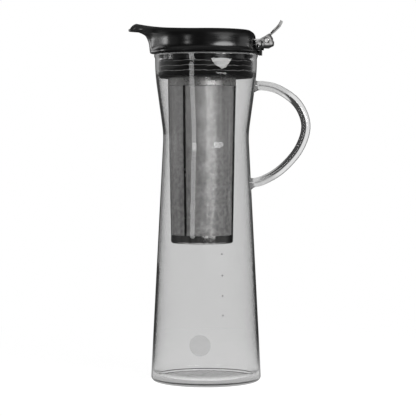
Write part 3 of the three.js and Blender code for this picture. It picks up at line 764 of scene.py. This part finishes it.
collar = turned("neck_collar", rounded([
    (0, collar_low), (collar_outer, collar_low, 0.5), (foot_reach, gasket_seat - 0.5),
    (foot_reach, gasket_seat), (collar_outer, gasket_seat), (collar_outer, collar_top - 1.5),
    (skirt_bore + 0.75, collar_top), (skirt_bore, collar_top),
    (skirt_bore, collar_low + collar_floor), (0, collar_low + collar_floor)], closed=False))
hole_radius = strainer_top + gap
hole = turned("hole", [(0, collar_low - 5), (hole_radius, collar_low - 5),
                       (hole_radius, collar_low + 5), (0, collar_low + 5)], x=strainer_x)
soften(cut(collar, hole))
dress(collar, "strainer", ["strainer_collar"], plastic_finish)

# %% [markdown]
# ## Silicone finish
# The gasket is matt black silicone. Where its lobes press on the glass, thin pale highlights show
# along the contact and waver a little. They could be modelled as ridges that touch the wall, but
# glass and silicone would then overlap. Here they are painted highlights: thin bands of a lighter
# tone at the lobes' heights, moved up and down by a noise.

# %% Make the silicone finish
glint_heights, line_wave = (251.6, 255.6, 259.4), 2.6


def make_silicone():
    shader = new_finish("black silicone")
    where = shader.place()
    dust = shader.noise(where, 0.9, 5)
    _, _, z = shader.parts(where)
    sway = shader.noise(shader.stretch(where, (1, 1, 0)), 0.12, 1) * line_wave
    waves = z + sway - line_wave / 2
    lines = [1 - (waves - height).size().ease(0.05, 0.3) for height in glint_heights]
    # Painted highlights: pale wavy lines at the lobes' heights.
    contact = lines[0].highest(lines[1]).highest(lines[2]) * dust.ease(0.3, 0.6)
    tone = shader.mix(dust.ease(0.4, 0.75), grey(0.004), grey(0.008))
    tone = shader.mix(contact, tone, grey(0.4))
    return shader.finish(shader.solid(Base_Color=tone, Roughness=dust * 0.15 + 0.28,
                                      Normal=shader.bump(dust, 0.015)))


silicone_finish = make_silicone()
print("contact lines at", glint_heights, "mm")

# %% [markdown] ## Gasket The gasket is a sleeve round the collar with three lobes that grip the
# glass. A real sleeve is one moulding, so its lobes and the grooves between them are corners of
# one outline, and each lobe follows the inner wall of the neck.

# %% Turn the gasket
def gasket_outline(lobes=3, pitch=3.75, groove=0.8, depth=0.9):
    bore, low, high = collar_outer + gap, gasket_seat + gap, collar_top - 0.8
    corners = [(bore, low)]
    for lobe in range(lobes, 0, -1):
        foot = low if lobe == lobes else high - lobe * pitch + groove / 2
        top = high - 2 if lobe == 1 else high - (lobe - 1) * pitch - groove / 2
        corners += [(radius_at(inside, z) - gap, z, 0.35) for z in (foot, top)]
        if lobe > 1:
            root = radius_at(inside, top) - gap - depth
            corners += [(root, top, 0.2), (root, top + groove, 0.2)]
    return rounded(corners + [(bore + 0.2, high), (bore, high)])


dress(turned("neck_sleeve", gasket_outline()), "strainer", ["neck_gasket"],
      silicone_finish)

# %% [markdown]
# ## Plans of the lid
# The lid is one black moulding: a round flange and drum whose front flows out into a spout. Seen
# from above, each level is an outline that is part circle and part spout. Drum and spout could be
# two bodies with a blend between them, but such blends bulge. Plans with matching points can be
# mixed level by level instead.

# %% Draw the plans of the lid
drum_radius, flange_radius, spout_reach, spout_half = 40.4, 43.7, 63.6, 6.6
spring = math.radians(130)
drum_steps, flank_steps, nose_steps = 44, 24, 14


def arc(steps, start, end, place):
    angles = [start + (end - start) * i / steps for i in range(steps + 1)]
    return [place(math.cos(angle), math.sin(angle)) for angle in angles]


def mirror(half):
    half[0].y = half[-1].y = 0
    return half + [Vector((p.x, -p.y)) for p in half[-2:0:-1]]


def spout_plan(radius, root, nose, half):
    """A circle that runs into a straight spout with a round nose."""
    drum = arc(drum_steps, 0, spring, lambda c, s: Vector((radius * c, radius * s)))
    a, d = drum[-1], Vector((-root, half))
    pull = (d - a).length / 3
    b = a + Vector((-math.sin(spring), math.cos(spring))) * pull
    c = d + Vector((pull, 0))
    flank = []
    for t in (i / flank_steps for i in range(flank_steps)):
        u = 1 - t
        flank.append(a * u ** 3 + b * 3 * t * u ** 2 + c * 3 * t * t * u + d * t ** 3)
    tip = arc(nose_steps, math.pi / 2, math.pi, lambda c, s: Vector((nose * c - root, half * s)))
    return mirror(drum[:-1] + flank + tip)


def round_plan(radius):
    """A circle with as many points as the plan with the spout, in the same order."""
    def place(c, s):
        return Vector((radius * c, radius * s))
    return mirror(arc(drum_steps, 0, spring, place)[:-1]
                  + arc(flank_steps + nose_steps, spring, math.pi, place))


print("points in a plan of the lid:", len(round_plan(drum_radius)))

# %% [markdown]
# ## Skin of the lid
# At the back the lid's side view runs up from the flange through a hollow cove and a wall to a
# round shoulder. At the front the same levels rise and reach out to the spout. Sculpting this by
# hand would be hard to repeat, so each point of the side view gets one ring: a mix of circle and
# spout, lifted towards the tip. Extra rings on a smooth curve through them even out the shoulder.

# %% Draw the skin of the lid
flange_low, lid_top, lid_all = 266.3, 285.0, 25.0
low_shares = [0.077, 0.086, 0.095, 0.1, 0.123, 0.183, 0.235, 0.263, 0.293]
shoulder_shares = [  # share of the spout, of its reach, of the lid's height, of the spout's width
    (0.358, 1, 0.524, 0.9), (0.43, 1, 0.604, 0.9), (0.645, 1, 0.696, 0.9), (0.85, 1, 0.724, 0.9),
    (1, 0.987, 0.732, 0.9), (1, 1, 0.788, 0.98), (1, 0.953, 0.868, 1), (1, 0.866, 0.948, 0.97),
    (1, 0.776, 0.988, 0.91)]


def drum_profile():
    """Rear side of the lid's outer face, as (radius, height): foot, edge, cove, wall, shoulder."""
    edge, edge_round, cove, shoulder, drum_height = 2.1, 0.8, 4.8, 6, 18.7
    cove_top, shoulder_low = edge + cove, drum_height - shoulder
    step_in = flange_radius - drum_radius
    return [
        *arc(2, -math.pi / 2, 0,
             lambda c, s: (flange_radius - edge_round * (1 - c), edge_round * (1 + s))),
        (flange_radius, edge - edge_round / 2), (flange_radius - edge_round / 2, edge),
        *arc(3, 0, math.pi / 2,
             lambda c, s: (flange_radius - step_in * s, cove_top - cove * c))[1:],
        (drum_radius, (cove_top + shoulder_low) / 2),
        *arc(8, 0, math.pi / 2,
             lambda c, s: (drum_radius - shoulder * (1 - c), shoulder_low + shoulder * s)),
    ]


def lid_rings():
    profile = drum_profile()
    rows = [(share, 1, height / lid_all, 1) for share, (_, height) in zip(low_shares, profile)]
    rings = []
    for (share, reach_share, up, wide), (radius, height) in zip(rows + shoulder_shares, profile):
        half = spout_half * wide
        reach = drum_radius + (spout_reach - drum_radius) * reach_share
        plan = spout_plan(radius, reach - half, half, half)
        ring = [a.lerp(b, share) for a, b in zip(round_plan(radius), plan)]
        tip, lift = min(p.x for p in ring), lid_all * up - height
        rings.append([Vector((p.x, p.y, flange_low + height + lift * max(0, p.x / tip) ** 2))
                      for p in ring])
    return rings


def refine(rings, start, steps=4):
    """Adds rings from start on, along a smooth curve through each column of points."""
    fine = rings[:start]
    for i in range(start, len(rings) - 1):
        near = [min(max(k, start), len(rings) - 1) for k in (i - 1, i, i + 1, i + 2)]
        p0, p1, p2, p3 = (rings[k] for k in near)
        for t in (step / steps for step in range(steps)):
            fine.append([b + ((c - a) * t + (2 * a - 5 * b + 4 * c - d) * t * t
                              + (3 * b - 3 * c + d - a) * t ** 3) / 2
                         for a, b, c, d in zip(p0, p1, p2, p3)])
    return fine + [rings[-1]]


lid = skin("lid_moulding", refine(lid_rings(), 4), crease=35, mirrored=True)
print("lid blank of", len(lid.data.polygons), "faces")

# %% [markdown]
# ## Slabs
# What is cut from the lid, and the flat parts of the hinge, are slabs: a plan or a side view with a
# thickness. A scaled cube serves only the square ones, so one helper makes a prism over any
# outline.

# %% Cut slabs from outlines
def slab(name, outline, low, high, upright=False):
    """A prism over a plan outline of (x, y), or across a side outline of (x, z) if upright."""
    def ring(level):
        return [(x, level, y) if upright else (x, y, level) for x, y in outline]
    return skin(name, [ring(low), ring(high)])


def side_slab(name, outline, width):
    return slab(name, outline, -width / 2, width / 2, upright=True)


def block(name, low, high):
    (x0, y0, z0), (x1, y1, z1) = low, high
    return slab(name, [(x0, y0), (x1, y0), (x1, y1), (x0, y1)], z0, z1)


print("a slab over a plan of the lid has", len(round_plan(drum_radius)) + 2, "faces")

# %% [markdown]
# ## Hollows of the lid
# Inside, the lid has a bore that the coffee rises through, a well that the flap lies in and that
# runs out into the spout, a narrow cavity between wall and well, a notch for the lever and a slot
# for the bracket. A moulding could be drawn as inner and outer skins, but so many hollows meet here
# that cutting is simpler: each is a closed solid that is taken away from the blank.

# %% Draw the bore and the well
skirt_radius, skirt_low, bore_radius, well_radius = 35.6, 249.5, 33.2, 34.2
flange_top, ledge_top, ledge_width, clear_height = flange_low + 2.1, 281.0, 3.2, lid_top + 20
ledge_low, gutter_floor, spout_wall = ledge_top - 3.5, lid_top - 12.5, 2.2
gutter_back, gutter_front, run_front = -26, -36, -50
lip_floor = flange_low + lid_all * 0.732 + 1.9
crest_half = spout_half * 0.91
crest_root = drum_radius + (spout_reach - drum_radius) * 0.776 - crest_half
beyond = spout_reach + 20
bore = turned("bore", [
    (0, skirt_low - 9), (bore_radius, skirt_low - 9), (bore_radius, ledge_low),
    (well_radius - ledge_width, ledge_low), (well_radius - ledge_width, lid_top + 9),
    (0, lid_top + 9)])
well = side_slab("well", rounded([
    (drum_radius, clear_height), (drum_radius, ledge_top), (gutter_back, ledge_top),
    (gutter_back, gutter_floor), (gutter_front, gutter_floor, 8),
    (run_front, lip_floor - spout_wall, 8), (-spout_reach + spout_half, lip_floor, 8),
    (-beyond, lip_floor), (-beyond, clear_height)]), 4 * drum_radius)
combine(well, "INTERSECT", slab("plan", spout_plan(
    well_radius, crest_root, beyond - crest_root, spout_half - spout_wall),
    flange_low, lid_top + 40))
print("ledge under the flap", round(ledge_top - ledge_low, 1), "mm thick")

# %% Cut the hollows of the lid
cavity_inner, cavity_outer, cavity_low, cavity_high, boss_half = 36.0, 38.2, 246, 276.8, 10
notch_half, notch_low = 7, 275.9
slot_back, slot_front, slot_half, slot_low, slot_high = 34.7, 45.2, 5.3, 272.1, 273.9
skirt = turned("skirt", rounded([
    (0, skirt_low), (skirt_radius, skirt_low, 0.5), (skirt_radius, flange_top), (0, flange_top)],
    closed=False))
cavity = turned("cavity", [(cavity_inner, cavity_low), (cavity_outer, cavity_low),
                           (cavity_outer, cavity_high), (cavity_inner, cavity_high)])
cut(cavity, block("boss", (0, -boss_half, 0), (flange_radius, boss_half, lid_top)),
    block("boss", (-spout_reach, -flange_radius, 0), (gutter_back, flange_radius, lid_top)))
notch = block("notch", (0, -notch_half, notch_low), (flange_radius, notch_half, clear_height))
slot = block("slot", (slot_back, -slot_half, slot_low), (slot_front, slot_half, slot_high))
cut(join(lid, skirt), bore, well, cavity, notch, slot)
dress(soften(lid, 35), "lid", ["lid_body"], plastic_finish)

# %% [markdown]
# ## Flap
# A steel cover lies in the lid's well, and its tongue bends up a little to close the spout. It
# could be the well's plan given a thickness, but the bend would be lost. So the bent sheet is first
# drawn in side view across the whole lid, and then trimmed to the plan, the way a press tool cuts
# it. A fine bevel breaks its edges.

# %% Press the flap
pivot_x, pivot_z, steel_sheet = 50.0, 276.1, 1.2
flap_radius, flap_low, flap_sheet = 32.6, 281.3, 1.0
flap_top, flap_middle = flap_low + flap_sheet, flap_low + flap_sheet / 2
bend_x, tongue_x, tongue_rise, tongue_half, sheet_end = 27, 53, 4.6, 3.8, 73
lever_back = flap_radius - 16
rivet_places, rivet_hole = [lever_back + 3.6, lever_back + 3.6 + 7], 1.4


def sheet_outline(corners, thickness):
    """Side view of a bent sheet: a line of corners is given thickness on both sides."""
    line = rounded(corners, closed=False, chord=0.002)

    def offset(sign):
        points = []
        for i, here in enumerate(line):
            before, after = line[max(i - 1, 0)], line[min(i + 1, len(line) - 1)]
            into = (here - before if i else after - here).normalized()
            onward = (after - before).normalized()
            stretch = max(abs(into.dot(onward)), math.sqrt(0.5))
            normal = Vector((-onward.y, onward.x))
            points.append(here + normal * sign * thickness / 2 / stretch)
        return points
    return offset(-1) + offset(1)[::-1]


def drill(x, radius):
    return turned("drill", [(0, flap_top - 9), (radius, flap_top - 9), (radius, flap_top + 9),
                            (0, flap_top + 9)], sides=32, x=x)


def bevel(obj, width, steps=2, angle=40):
    """Rounds every edge that is sharper than the angle."""
    soften(obj)
    step = obj.modifiers.new("bevel", "BEVEL")
    step.width, step.segments, step.limit_method = width * MM, steps, "ANGLE"
    step.angle_limit, step.use_clamp_overlap = math.radians(angle), True
    return soften(settle(obj))


end_rise = tongue_rise * (sheet_end - bend_x) / (tongue_x - bend_x)
flap = side_slab("flap_sheet", sheet_outline([
    (drum_radius, flap_middle), (-bend_x, flap_middle, 20),
    (-sheet_end, flap_middle + end_rise)], flap_sheet), 4 * drum_radius)
combine(flap, "INTERSECT", slab("plan", spout_plan(
    flap_radius, tongue_x - tongue_half, tongue_half, tongue_half), flange_low, clear_height))
cut(flap, *(drill(x, rivet_hole) for x in rivet_places))
dress(bevel(flap, 0.15), "flap", ["lid_flap"], steel_finish)

# %% [markdown]
# ## Thumb lever
# The lever is a strip of sheet: a foot that is riveted to the flap, a step down to the hinge, and a
# plate for the thumb that curls up and widens. Bending a flat mesh with a modifier bends all of it
# alike. Here two drawings are enough: the line in side view, and the width in plan. A section with
# rounded edges is carried along the line, and takes its width from the plan.

# %% Draw the lever's line and plan
foot_height, throat_height = flap_top + gap + steel_sheet / 2, pivot_z + 1
thumb_reach, thumb_rise, thumb_half, foot_half = 11.6, 16.3, 7.8, 6
thumb_shares = [(0.216, 0.331, 0.2), (0.828, 0.755, 0.35), (0.91, 0.86, 0.2), (1, 1, 0)]
lever_line = rounded([
    (lever_back, foot_height), (flap_radius + 1.4, foot_height, 1.6),
    (pivot_x - 10.8, throat_height, 1.6), (pivot_x - 5.7, throat_height, 1.6),
    *((pivot_x + thumb_reach * out, pivot_z + thumb_rise * up, thumb_rise * bend)
      for out, up, bend in thumb_shares)], closed=False, chord=0.01)
thumb_end = pivot_x + thumb_reach + steel_sheet
lever_plan = rounded([
    (lever_back, 0), (lever_back, foot_half, 5), (flap_radius, foot_half),
    (flap_radius + 1.4, 5.4), (pivot_x + 3.6, 5.4, 0.8), (pivot_x + 5.2, thumb_half, 1.6),
    (thumb_end, thumb_half, 5), (thumb_end, 0)], closed=False)
print("lever", round(lever_line[-1].x - lever_back, 1), "mm long")

# %% Bend the lever
def half_width(x):
    for a, b in zip(lever_plan, lever_plan[1:]):
        if a.x < x <= b.x:
            return a.y + (b.y - a.y) * (x - a.x) / (b.x - a.x)
    return lever_plan[1].y


def split(line, first=24, most=0.7):
    """Splits a line into short steps, closest together at its round start."""
    points = [line[0].lerp(line[1], (i / first) ** 2) for i in range(first)]
    for a, b in zip(line[1:], line[2:]):
        count = max(1, round((b - a).length / most))
        points += [a.lerp(b, i / count) for i in range(count)]
    return points + [line[-1]]


def bent_strip(name, line, thickness, edge=0.3):
    """A strip of sheet bent along a side line, as wide as its plan, with rounded long edges."""
    rings = []
    for i, here in enumerate(line):
        onward = (line[min(i + 1, len(line) - 1)] - line[max(i - 1, 0)]).normalized()
        across, deep = Vector((-onward.y, onward.x)), thickness / 2
        half = max(half_width(here.x), thickness / 2)
        corner = arc(3, 0, math.pi / 2,
                     lambda c, s: (half - edge + edge * c, deep - edge + edge * s))
        top = corner + [(-y, d) for y, d in corner[::-1]]
        loop = top + [(y, -d) for y, d in top[::-1]]
        rings.append([(here.x + across.x * d, y, here.y + across.y * d) for y, d in loop])
    return skin(name, rings)


def bar(name, radius, half_length, place=(pivot_x, pivot_z)):
    """A round bar along the hinge axis, or beside it."""
    ring = [(place[0] + radius * c, place[1] + radius * s) for c, s in circle(48)]
    return side_slab(name, ring, 2 * half_length)


knuckle_radius, knuckle_half, eye_radius = 3.1, 5.4, 1.4
lever = bent_strip("lever_strip", split(lever_line), steel_sheet)
join(lever, bar("knuckle", knuckle_radius, knuckle_half))
cut(lever, bar("eye", eye_radius, 20), *(drill(x, rivet_hole) for x in rivet_places))
dress(soften(lever), "flap", ["thumb_lever"], steel_finish)

# %% [markdown]
# ## Bracket
# The bracket holds the pin behind the lid. A leg hooks under the flange, a tang enters the slot, a
# web joins them to two ears, and the pin passes through the ears. A real one is folded from one
# blank of sheet. Folding it in mesh code would gain nothing that shows, so its flat parts are made
# as slabs, joined into one solid, cut out and bevelled.

# %% Build the bracket
ear_shares = [(-0.88, 0.31, 0), (0.39, 1, 0.2), (0.8, 0.49, 0.2), (1, -0.54, 0.25),
              (0.04, -1, 0.4), (-0.65, -0.75, 0), (-1.14, -0.93, 0), (-1.14, -0.12, 0)]
web_shares = [(-1.1, -0.82, 0), (0, -0.86, 0.4), (0.88, -0.54, 0.2), (0.9, 0, 0)]
ear_length, ear_rise, ear_inner, ear_outer = 4.8, 5.9, 6.0, 7.2
leg_inner = flange_radius + gap
leg_outer, hook_top = leg_inner + steel_sheet, flange_low - gap
root_outline = [(41, 269), (46.5, 269), (47, 277, 1), (42.6, 277, 1.5), (41, 275, 1)]
window_outline = [(45.6, 271.9, 0.6), (47.2, 271.9, 0.6), (47.2, 275.4, 0.6), (45.6, 275.4, 0.6)]
root_hole = (42.9, 271.9)


def round_pivot(shares):
    """Corners given as shares of the ear's length and rise, from the pivot."""
    return [(pivot_x + ear_length * out, pivot_z + ear_rise * up, ear_length * bend)
            for out, up, bend in shares]


leg = block("hinge_bracket_sheet", (leg_inner, -ear_outer, hook_top - steel_sheet),
            (leg_outer, ear_outer, pivot_z - 0.5))
hook = block("hook", (leg_inner - 1.3, -ear_outer, hook_top - steel_sheet),
             (leg_outer, ear_outer, hook_top))
tang = block("tang", (leg_inner - 9, -5, pivot_z - 3.7), (leg_outer, 5, pivot_z - 2.5))
web = side_slab("web", sheet_outline(round_pivot(web_shares), steel_sheet), 2 * ear_outer)
ears = join(side_slab("ears", rounded(round_pivot(ear_shares)), 2 * ear_outer),
            side_slab("ear_roots", rounded(root_outline), 2 * ear_outer))
cut(ears, block("between", (0, -ear_inner, hook_top - 3), (spout_reach, ear_inner, clear_height)))
bracket = join(leg, hook, tang, web, ears)
cut(bracket, bar("eye", eye_radius, 20), bar("root_hole", 0.95, 20, root_hole),
    side_slab("window", rounded(window_outline), 40))
dress(bevel(bracket, 0.15), "lid", ["hinge_bracket"], bent_finish)

# %% [markdown]
# ## Pin and rivets
# The lever turns on a pin with a head at each end, and two rivets hold its foot to the flap. A
# cylinder with two smaller ones on it would leave faces inside. Each is turned from one outline
# instead, shank and rounded heads together, the pin about the hinge axis and the rivets upright.

# %% Turn the pin and the rivets
shank_radius, head_radius, shoulder = 1.2, 2, ear_outer + gap
pin_outline = rounded([
    (0, -shoulder - 1), (head_radius, -shoulder - 1, 0.5), (head_radius, -shoulder),
    (shank_radius, -shoulder), (shank_radius, shoulder), (head_radius, shoulder),
    (head_radius, shoulder + 1, 0.5), (0, shoulder + 1)], closed=False)
pin = skin("hinge_pin_shank", [[(pivot_x + r * c, y, pivot_z + r * s) for c, s in circle(32)]
                               for r, y in pin_outline])
dress(pin, "lid", ["hinge_pin"], steel_finish)

rivet_head, rivet_radius = 0.8, 2.1
head_low, tail_high = flap_top + gap + steel_sheet + gap, flap_low - gap
rivet_outline = rounded([
    (0, tail_high - rivet_head), (rivet_radius, tail_high - rivet_head, 0.2),
    (rivet_radius, tail_high), (shank_radius, tail_high), (shank_radius, head_low),
    (rivet_radius, head_low), (rivet_radius, head_low + rivet_head, 0.6),
    (0, head_low + rivet_head)], closed=False)
rivets = [turned(f"rivet_{i + 1}", rivet_outline, sides=32, x=x)
          for i, x in enumerate(rivet_places)]
for rivet in rivets:
    dress(rivet, "flap", [f"flap_{rivet.name}"], steel_finish)

# %% [markdown]
# ## Printed marks
# The glass carries a few pale marks: four dots that show how far to fill it, and a plain round
# disc. Print is far too thin for a solid. It could be mixed into the glass finish, but as a piece
# of its own it has a name and is easy to change. So each mark is a patch of the outer surface,
# lifted a hair, in ink that lets some light through and is a little uneven.

# %% Print the marks
seal_height, seal_radius, seal_turn = 33.5, 8.5, 0.6
dot_heights, dot_radius, dot_turn, lifted = (57.2, 72.6, 88.8, 105.8), 0.8, 25.6, 0.04


def make_print(name, shade, cover):
    shader = new_finish(name)
    fleck = shader.noise(shader.place(), 1.6, 3)
    tone = shader.mix(fleck, grey(shade), grey(shade * 1.4))
    return shader.finish(shader.solid(Base_Color=tone, Roughness=0.6, Alpha=fleck * 0.12 + cover))


def mark(name, turn, height, radius, finish, rings=3, spokes=40):
    """A round patch on the outer wall. Turn is in degrees to the right of the front."""
    spots = [(0, 0)] + [(radius * k / rings * c, radius * k / rings * s)
                        for k in range(1, rings + 1) for c, s in circle(spokes)]
    placed = []
    for across, up in spots:
        wall = radius_at(outside, height + up) + lifted
        angle = math.radians(turn) + across / wall
        placed.append((wall * math.sin(angle), -wall * math.cos(angle), height + up))
    faces = [(0, 1 + i, 1 + (i + 1) % spokes) for i in range(spokes)]
    for k in range(rings - 1):
        a, b = 1 + k * spokes, 1 + (k + 1) * spokes
        faces += [(a + i, b + i, b + (i + 1) % spokes, a + (i + 1) % spokes) for i in range(spokes)]
    patch = piece(name, placed, faces)
    patch.data.materials.append(finish)
    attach(patch, "pitcher")


mark("printed_seal", seal_turn, seal_height, seal_radius, make_print("pale print", 0.28, 0.26))
dot_print = make_print("grey print", 0.08, 0.42)
for i, height in enumerate(dot_heights):
    mark(f"fill_dot_{i + 1}", dot_turn, height, dot_radius, dot_print)
print("marks printed:", 1 + len(dot_heights))

# %% [markdown]
# ## Floor
# The pitcher stands on white paper. A plain white floor would be enough for the camera, but glass
# and polished steel show the whole room, and an all white room leaves them without form. So the
# paper is shown to each kind of ray as it should be: white to the camera, with the pitcher's
# shadow, dark far off to what mirrors it, and with a dark board behind it. Only the rod shows that
# board. A ray leaves the rod after two surfaces, but crosses four in the hollow body, and after
# the third it sees plain white.

# %% Lay the floor
def through_glass(shader, across, rise, back):
    """How bright the room is behind glass: white, with a dark board that the rod shows."""
    board = across.ease(-0.16, -0.06) * (1 - rise.ease(0.13, 0.22)) * back.ease(0, 0.1)
    depth = shader.node("ShaderNodeLightPath", output="Transmission Depth")
    return 1 - board * (1 - depth.ease(2, 3)) * 0.92


def make_paper():
    shader = new_finish("white paper")
    x, y, _ = shader.parts(shader.place())
    away = (x * x + y * y).root()
    paper = shader.solid(Base_Color=grey(0.85), Roughness=0.8, Specular_IOR_Level=0.2)
    # Painted light: the paper glows brighter right under the pitcher, which lifts the shadow seen
    # through its foot.
    near = shader.layer(0.55, paper, shader.glow(2.2 - away.ease(30, 50) * 0.85))
    seen = shader.layer(away.ease(120, 420), near, shader.glow(1.0))
    room = through_glass(shader, (x - 108) / away, -0.1 - x / away * 0.9, y / away)
    seen = shader.layer(away.ease(200, 400) * shader.ray("Transmission"), seen, shader.glow(room))
    mirrored = shader.layer(away.ease(60, 400), paper, shader.glow(0.06))
    plain = shader.layer(shader.ray("Camera", "Transmission"), paper, seen)
    by_mirrors = shader.ray("Reflection") * shader.ray("Glossy")
    return shader.finish(shader.layer(by_mirrors, plain, mirrored))


floor = block("floor", (-6000, -6000, -3), (6000, 6000, -0.05))
floor.data.materials.append(make_paper())
print("floor top at", round(1000 * max(v.co.z for v in floor.data.vertices), 2), "mm")

# %% [markdown]
# ## Room
# The rest of the room is the world. It could be one even white, which lights the pitcher well but
# gives black plastic a grey veil. Here the camera and the glass see white, an even grey fills the
# shadows, and what mirrors the room sees it nearly dark, with pale zones behind, at both sides and
# overhead.

# %% Paint the room
def room_in_mirrors(x, y, z):
    """How bright the room is in black plastic and steel, by direction."""
    level = 1 - z.size().ease(0.15, 0.5)
    behind, ceiling = y.ease(-0.1, 0.5) * 0.1, z.ease(0.55, 0.95) * 0.3
    right = x.ease(0, 0.2) * (0 - y).ease(0.3, 0.7) * 0.2
    left = (0 - x).ease(0.8, 0.92) * 0.2
    return level * (behind + right + left) + ceiling + 0.03


def make_room(fill=0.6):
    shader = Shader(bpy.data.worlds.new("studio"))
    x, y, z = shader.parts(shader.node("ShaderNodeTexCoord", output="Generated"))
    through = shader.ray("Transmission")
    seen = through_glass(shader, x + z * 0.6, z - x * 0.9, y)
    light = (fill + shader.ray("Camera") * (1 - fill) + through * (seen - fill)
             + shader.ray("Glossy") * (1 - through) * (room_in_mirrors(x, y, z) - fill))
    return shader.finish(shader.node("ShaderNodeBackground", None, {"Color": light}),
                         "ShaderNodeOutputWorld")


scene.world = make_room()
print("world:", scene.world.name)

# %% [markdown]
# ## Lamps
# Two soft lamps light the scene, a round one at the right and a weaker one at the left. A lamp also
# shows in whatever mirrors it, and a photographer moves lamps until each highlight lies well. Here
# light and highlight are kept apart: the two lamps are left out of mirrors, and each highlight has
# a lamp of its own that lights nothing and shines on named pieces alone, by light linking.

# %% Hang the lamps
def lamp(name, turn, distance, height, size, radiance, shape="RECTANGLE", aim=150):
    """A soft lamp turned to the pitcher's axis. Its radiance is how bright its face looks."""
    data = bpy.data.lights.new(name, "AREA")
    data.shape, data.size, data.size_y = shape, size[0] * MM, size[1] * MM
    area = size[0] * size[1] * MM * MM * (1 if shape == "RECTANGLE" else math.pi / 4)
    data.energy = radiance * area * math.pi
    obj = link(bpy.data.objects.new(name, data))
    point_at(obj, around(turn, distance, height), (0, 0, aim))
    obj.visible_camera = obj.visible_transmission = False
    return obj


for light in (lamp("round_lamp", 38, 1300, 850, (1200, 1200), 2.4, "DISK"),
              lamp("left_fill", -50, 1500, 900, (900, 900), 0.8)):
    light.visible_glossy = False
    print(light.name, "of", round(light.data.energy, 1), "W")

# %% [markdown]
# ## Highlights
# Each highlight below is one that the real pieces show: the broad one on the drum and the spot
# beside it, the column down the mesh, the glint on the pin, the strip down the glass. They could be
# painted on, but then they would stay in place when the lid lifts. A lamp per highlight moves with
# the view. Inside the glass such a lamp would speckle the rod, so its light is left out there.

# %% Set the highlights
def outside_glass(shader, radiance=1.0):
    """Leaves a lamp out of the reflections inside the glass."""
    depth = shader.node("ShaderNodeLightPath", output="Transmission Depth")
    return (depth - 1).size().ease(0.3, 0.7) * radiance


def only_on(obj, pieces):
    """Lets a lamp shine on these pieces alone."""
    group = bpy.data.collections.new(obj.name)
    for one in pieces:
        group.objects.link(one)
    obj.light_linking.receiver_collection = group


def highlight(name, pieces, *place, **more):
    """A lamp that lights nothing, and that only these pieces mirror."""
    obj = lamp(name, *place, **more)
    obj.visible_diffuse = False
    shader = Shader(obj.data)
    shader.finish(shader.glow(outside_glass(shader)), "ShaderNodeOutputLight")
    only_on(obj, pieces)


strainer = [mesh_wall, band, cup]
hinge = [flap, lever, bracket, *rivets]
highlight("round_lamp_gleam", [*strainer, pin], 38, 1310, 850, (1200, 1200), 7, shape="DISK")
highlight("hinge_gleam", hinge, 38, 1320, 850, (1200, 1200), 1.3, shape="DISK")
highlight("lid_gleam", [lid, collar], 43, 1310, 850, (1200, 1000), 8.9127, shape="ELLIPSE")
highlight("lid_strip", [lid], -43, 1300, 480, (200, 300), 6, aim=276)
highlight("side_gleam", [lid], -106, 1200, 330, (260, 330), 6.3662, shape="ELLIPSE", aim=276)
highlight("right_lamp", [lid, flap], 100, 1200, 500, (800, 800), 0.8, aim=300)
highlight("left_lamp", [lid, flap, lever, bracket, pin], -135, 1200, 500, (500, 800), 1.8, aim=300)
highlight("mesh_gleam", strainer, 31, 1300, 400, (600, 340), 7, aim=230)
highlight("cup_gleam", [cup], 26, 1300, 70, (1150, 180), 2.6, aim=110)
highlight("strip_lamp", [glass], -30, 1300, 700, (270, 820), 5, aim=700)
highlight("low_strip_lamp", [glass], -30.7, 330, 192, (62, 140), 5, aim=192)
highlight("back_lamp", [lever, flap], 180, 1500, 300, (2600, 1600), 0.42, aim=280)
highlight("front_lamp", [*hinge, pin], -16, 1500, 450, (700, 1000), 1.0, aim=280)
print("lamps in all:", len(bpy.data.lights))

# %% [markdown]
# ## Cards
# The glass also mirrors three white cards: one with a pointed foot that shows on the neck, and two
# small ones. An area lamp is always a rectangle or an ellipse, so a card is a glowing mesh, which
# can have any outline. Its corners are given by turn and height, as the glass shows them.

# %% Stand the cards
def card(name, corners, distance, radiance):
    """A bright card that only the glass shows. Each corner is a turn and a height."""
    points = [around(turn, distance, height) for turn, height in corners]
    obj = piece(name, points, [tuple(range(len(points)))])
    shader = new_finish(name)
    obj.data.materials.append(shader.finish(shader.glow(outside_glass(shader, radiance))))
    obj.visible_camera = obj.visible_diffuse = obj.visible_transmission = obj.visible_shadow = False
    only_on(obj, [glass])


card("pointed_card", [(4, 290), (62, 290), (56, 272), (50, 257), (43, 244), (34, 234), (24, 244),
                      (16, 257), (10, 272)], 330, 12)
card("low_card", [(20, 220), (33, 221), (46, 220), (43, 215), (33, 214), (23, 215)], 330, 7)
card("small_card", [(30, 332), (40, 332), (40, 304), (30, 304)], 1300, 6)

# %% [markdown]
# ## Finish
# Standard view keeps a colour as it is written, where the default would soften the white paper to
# grey.

# %% Finish
scene.view_settings.view_transform = "Standard"
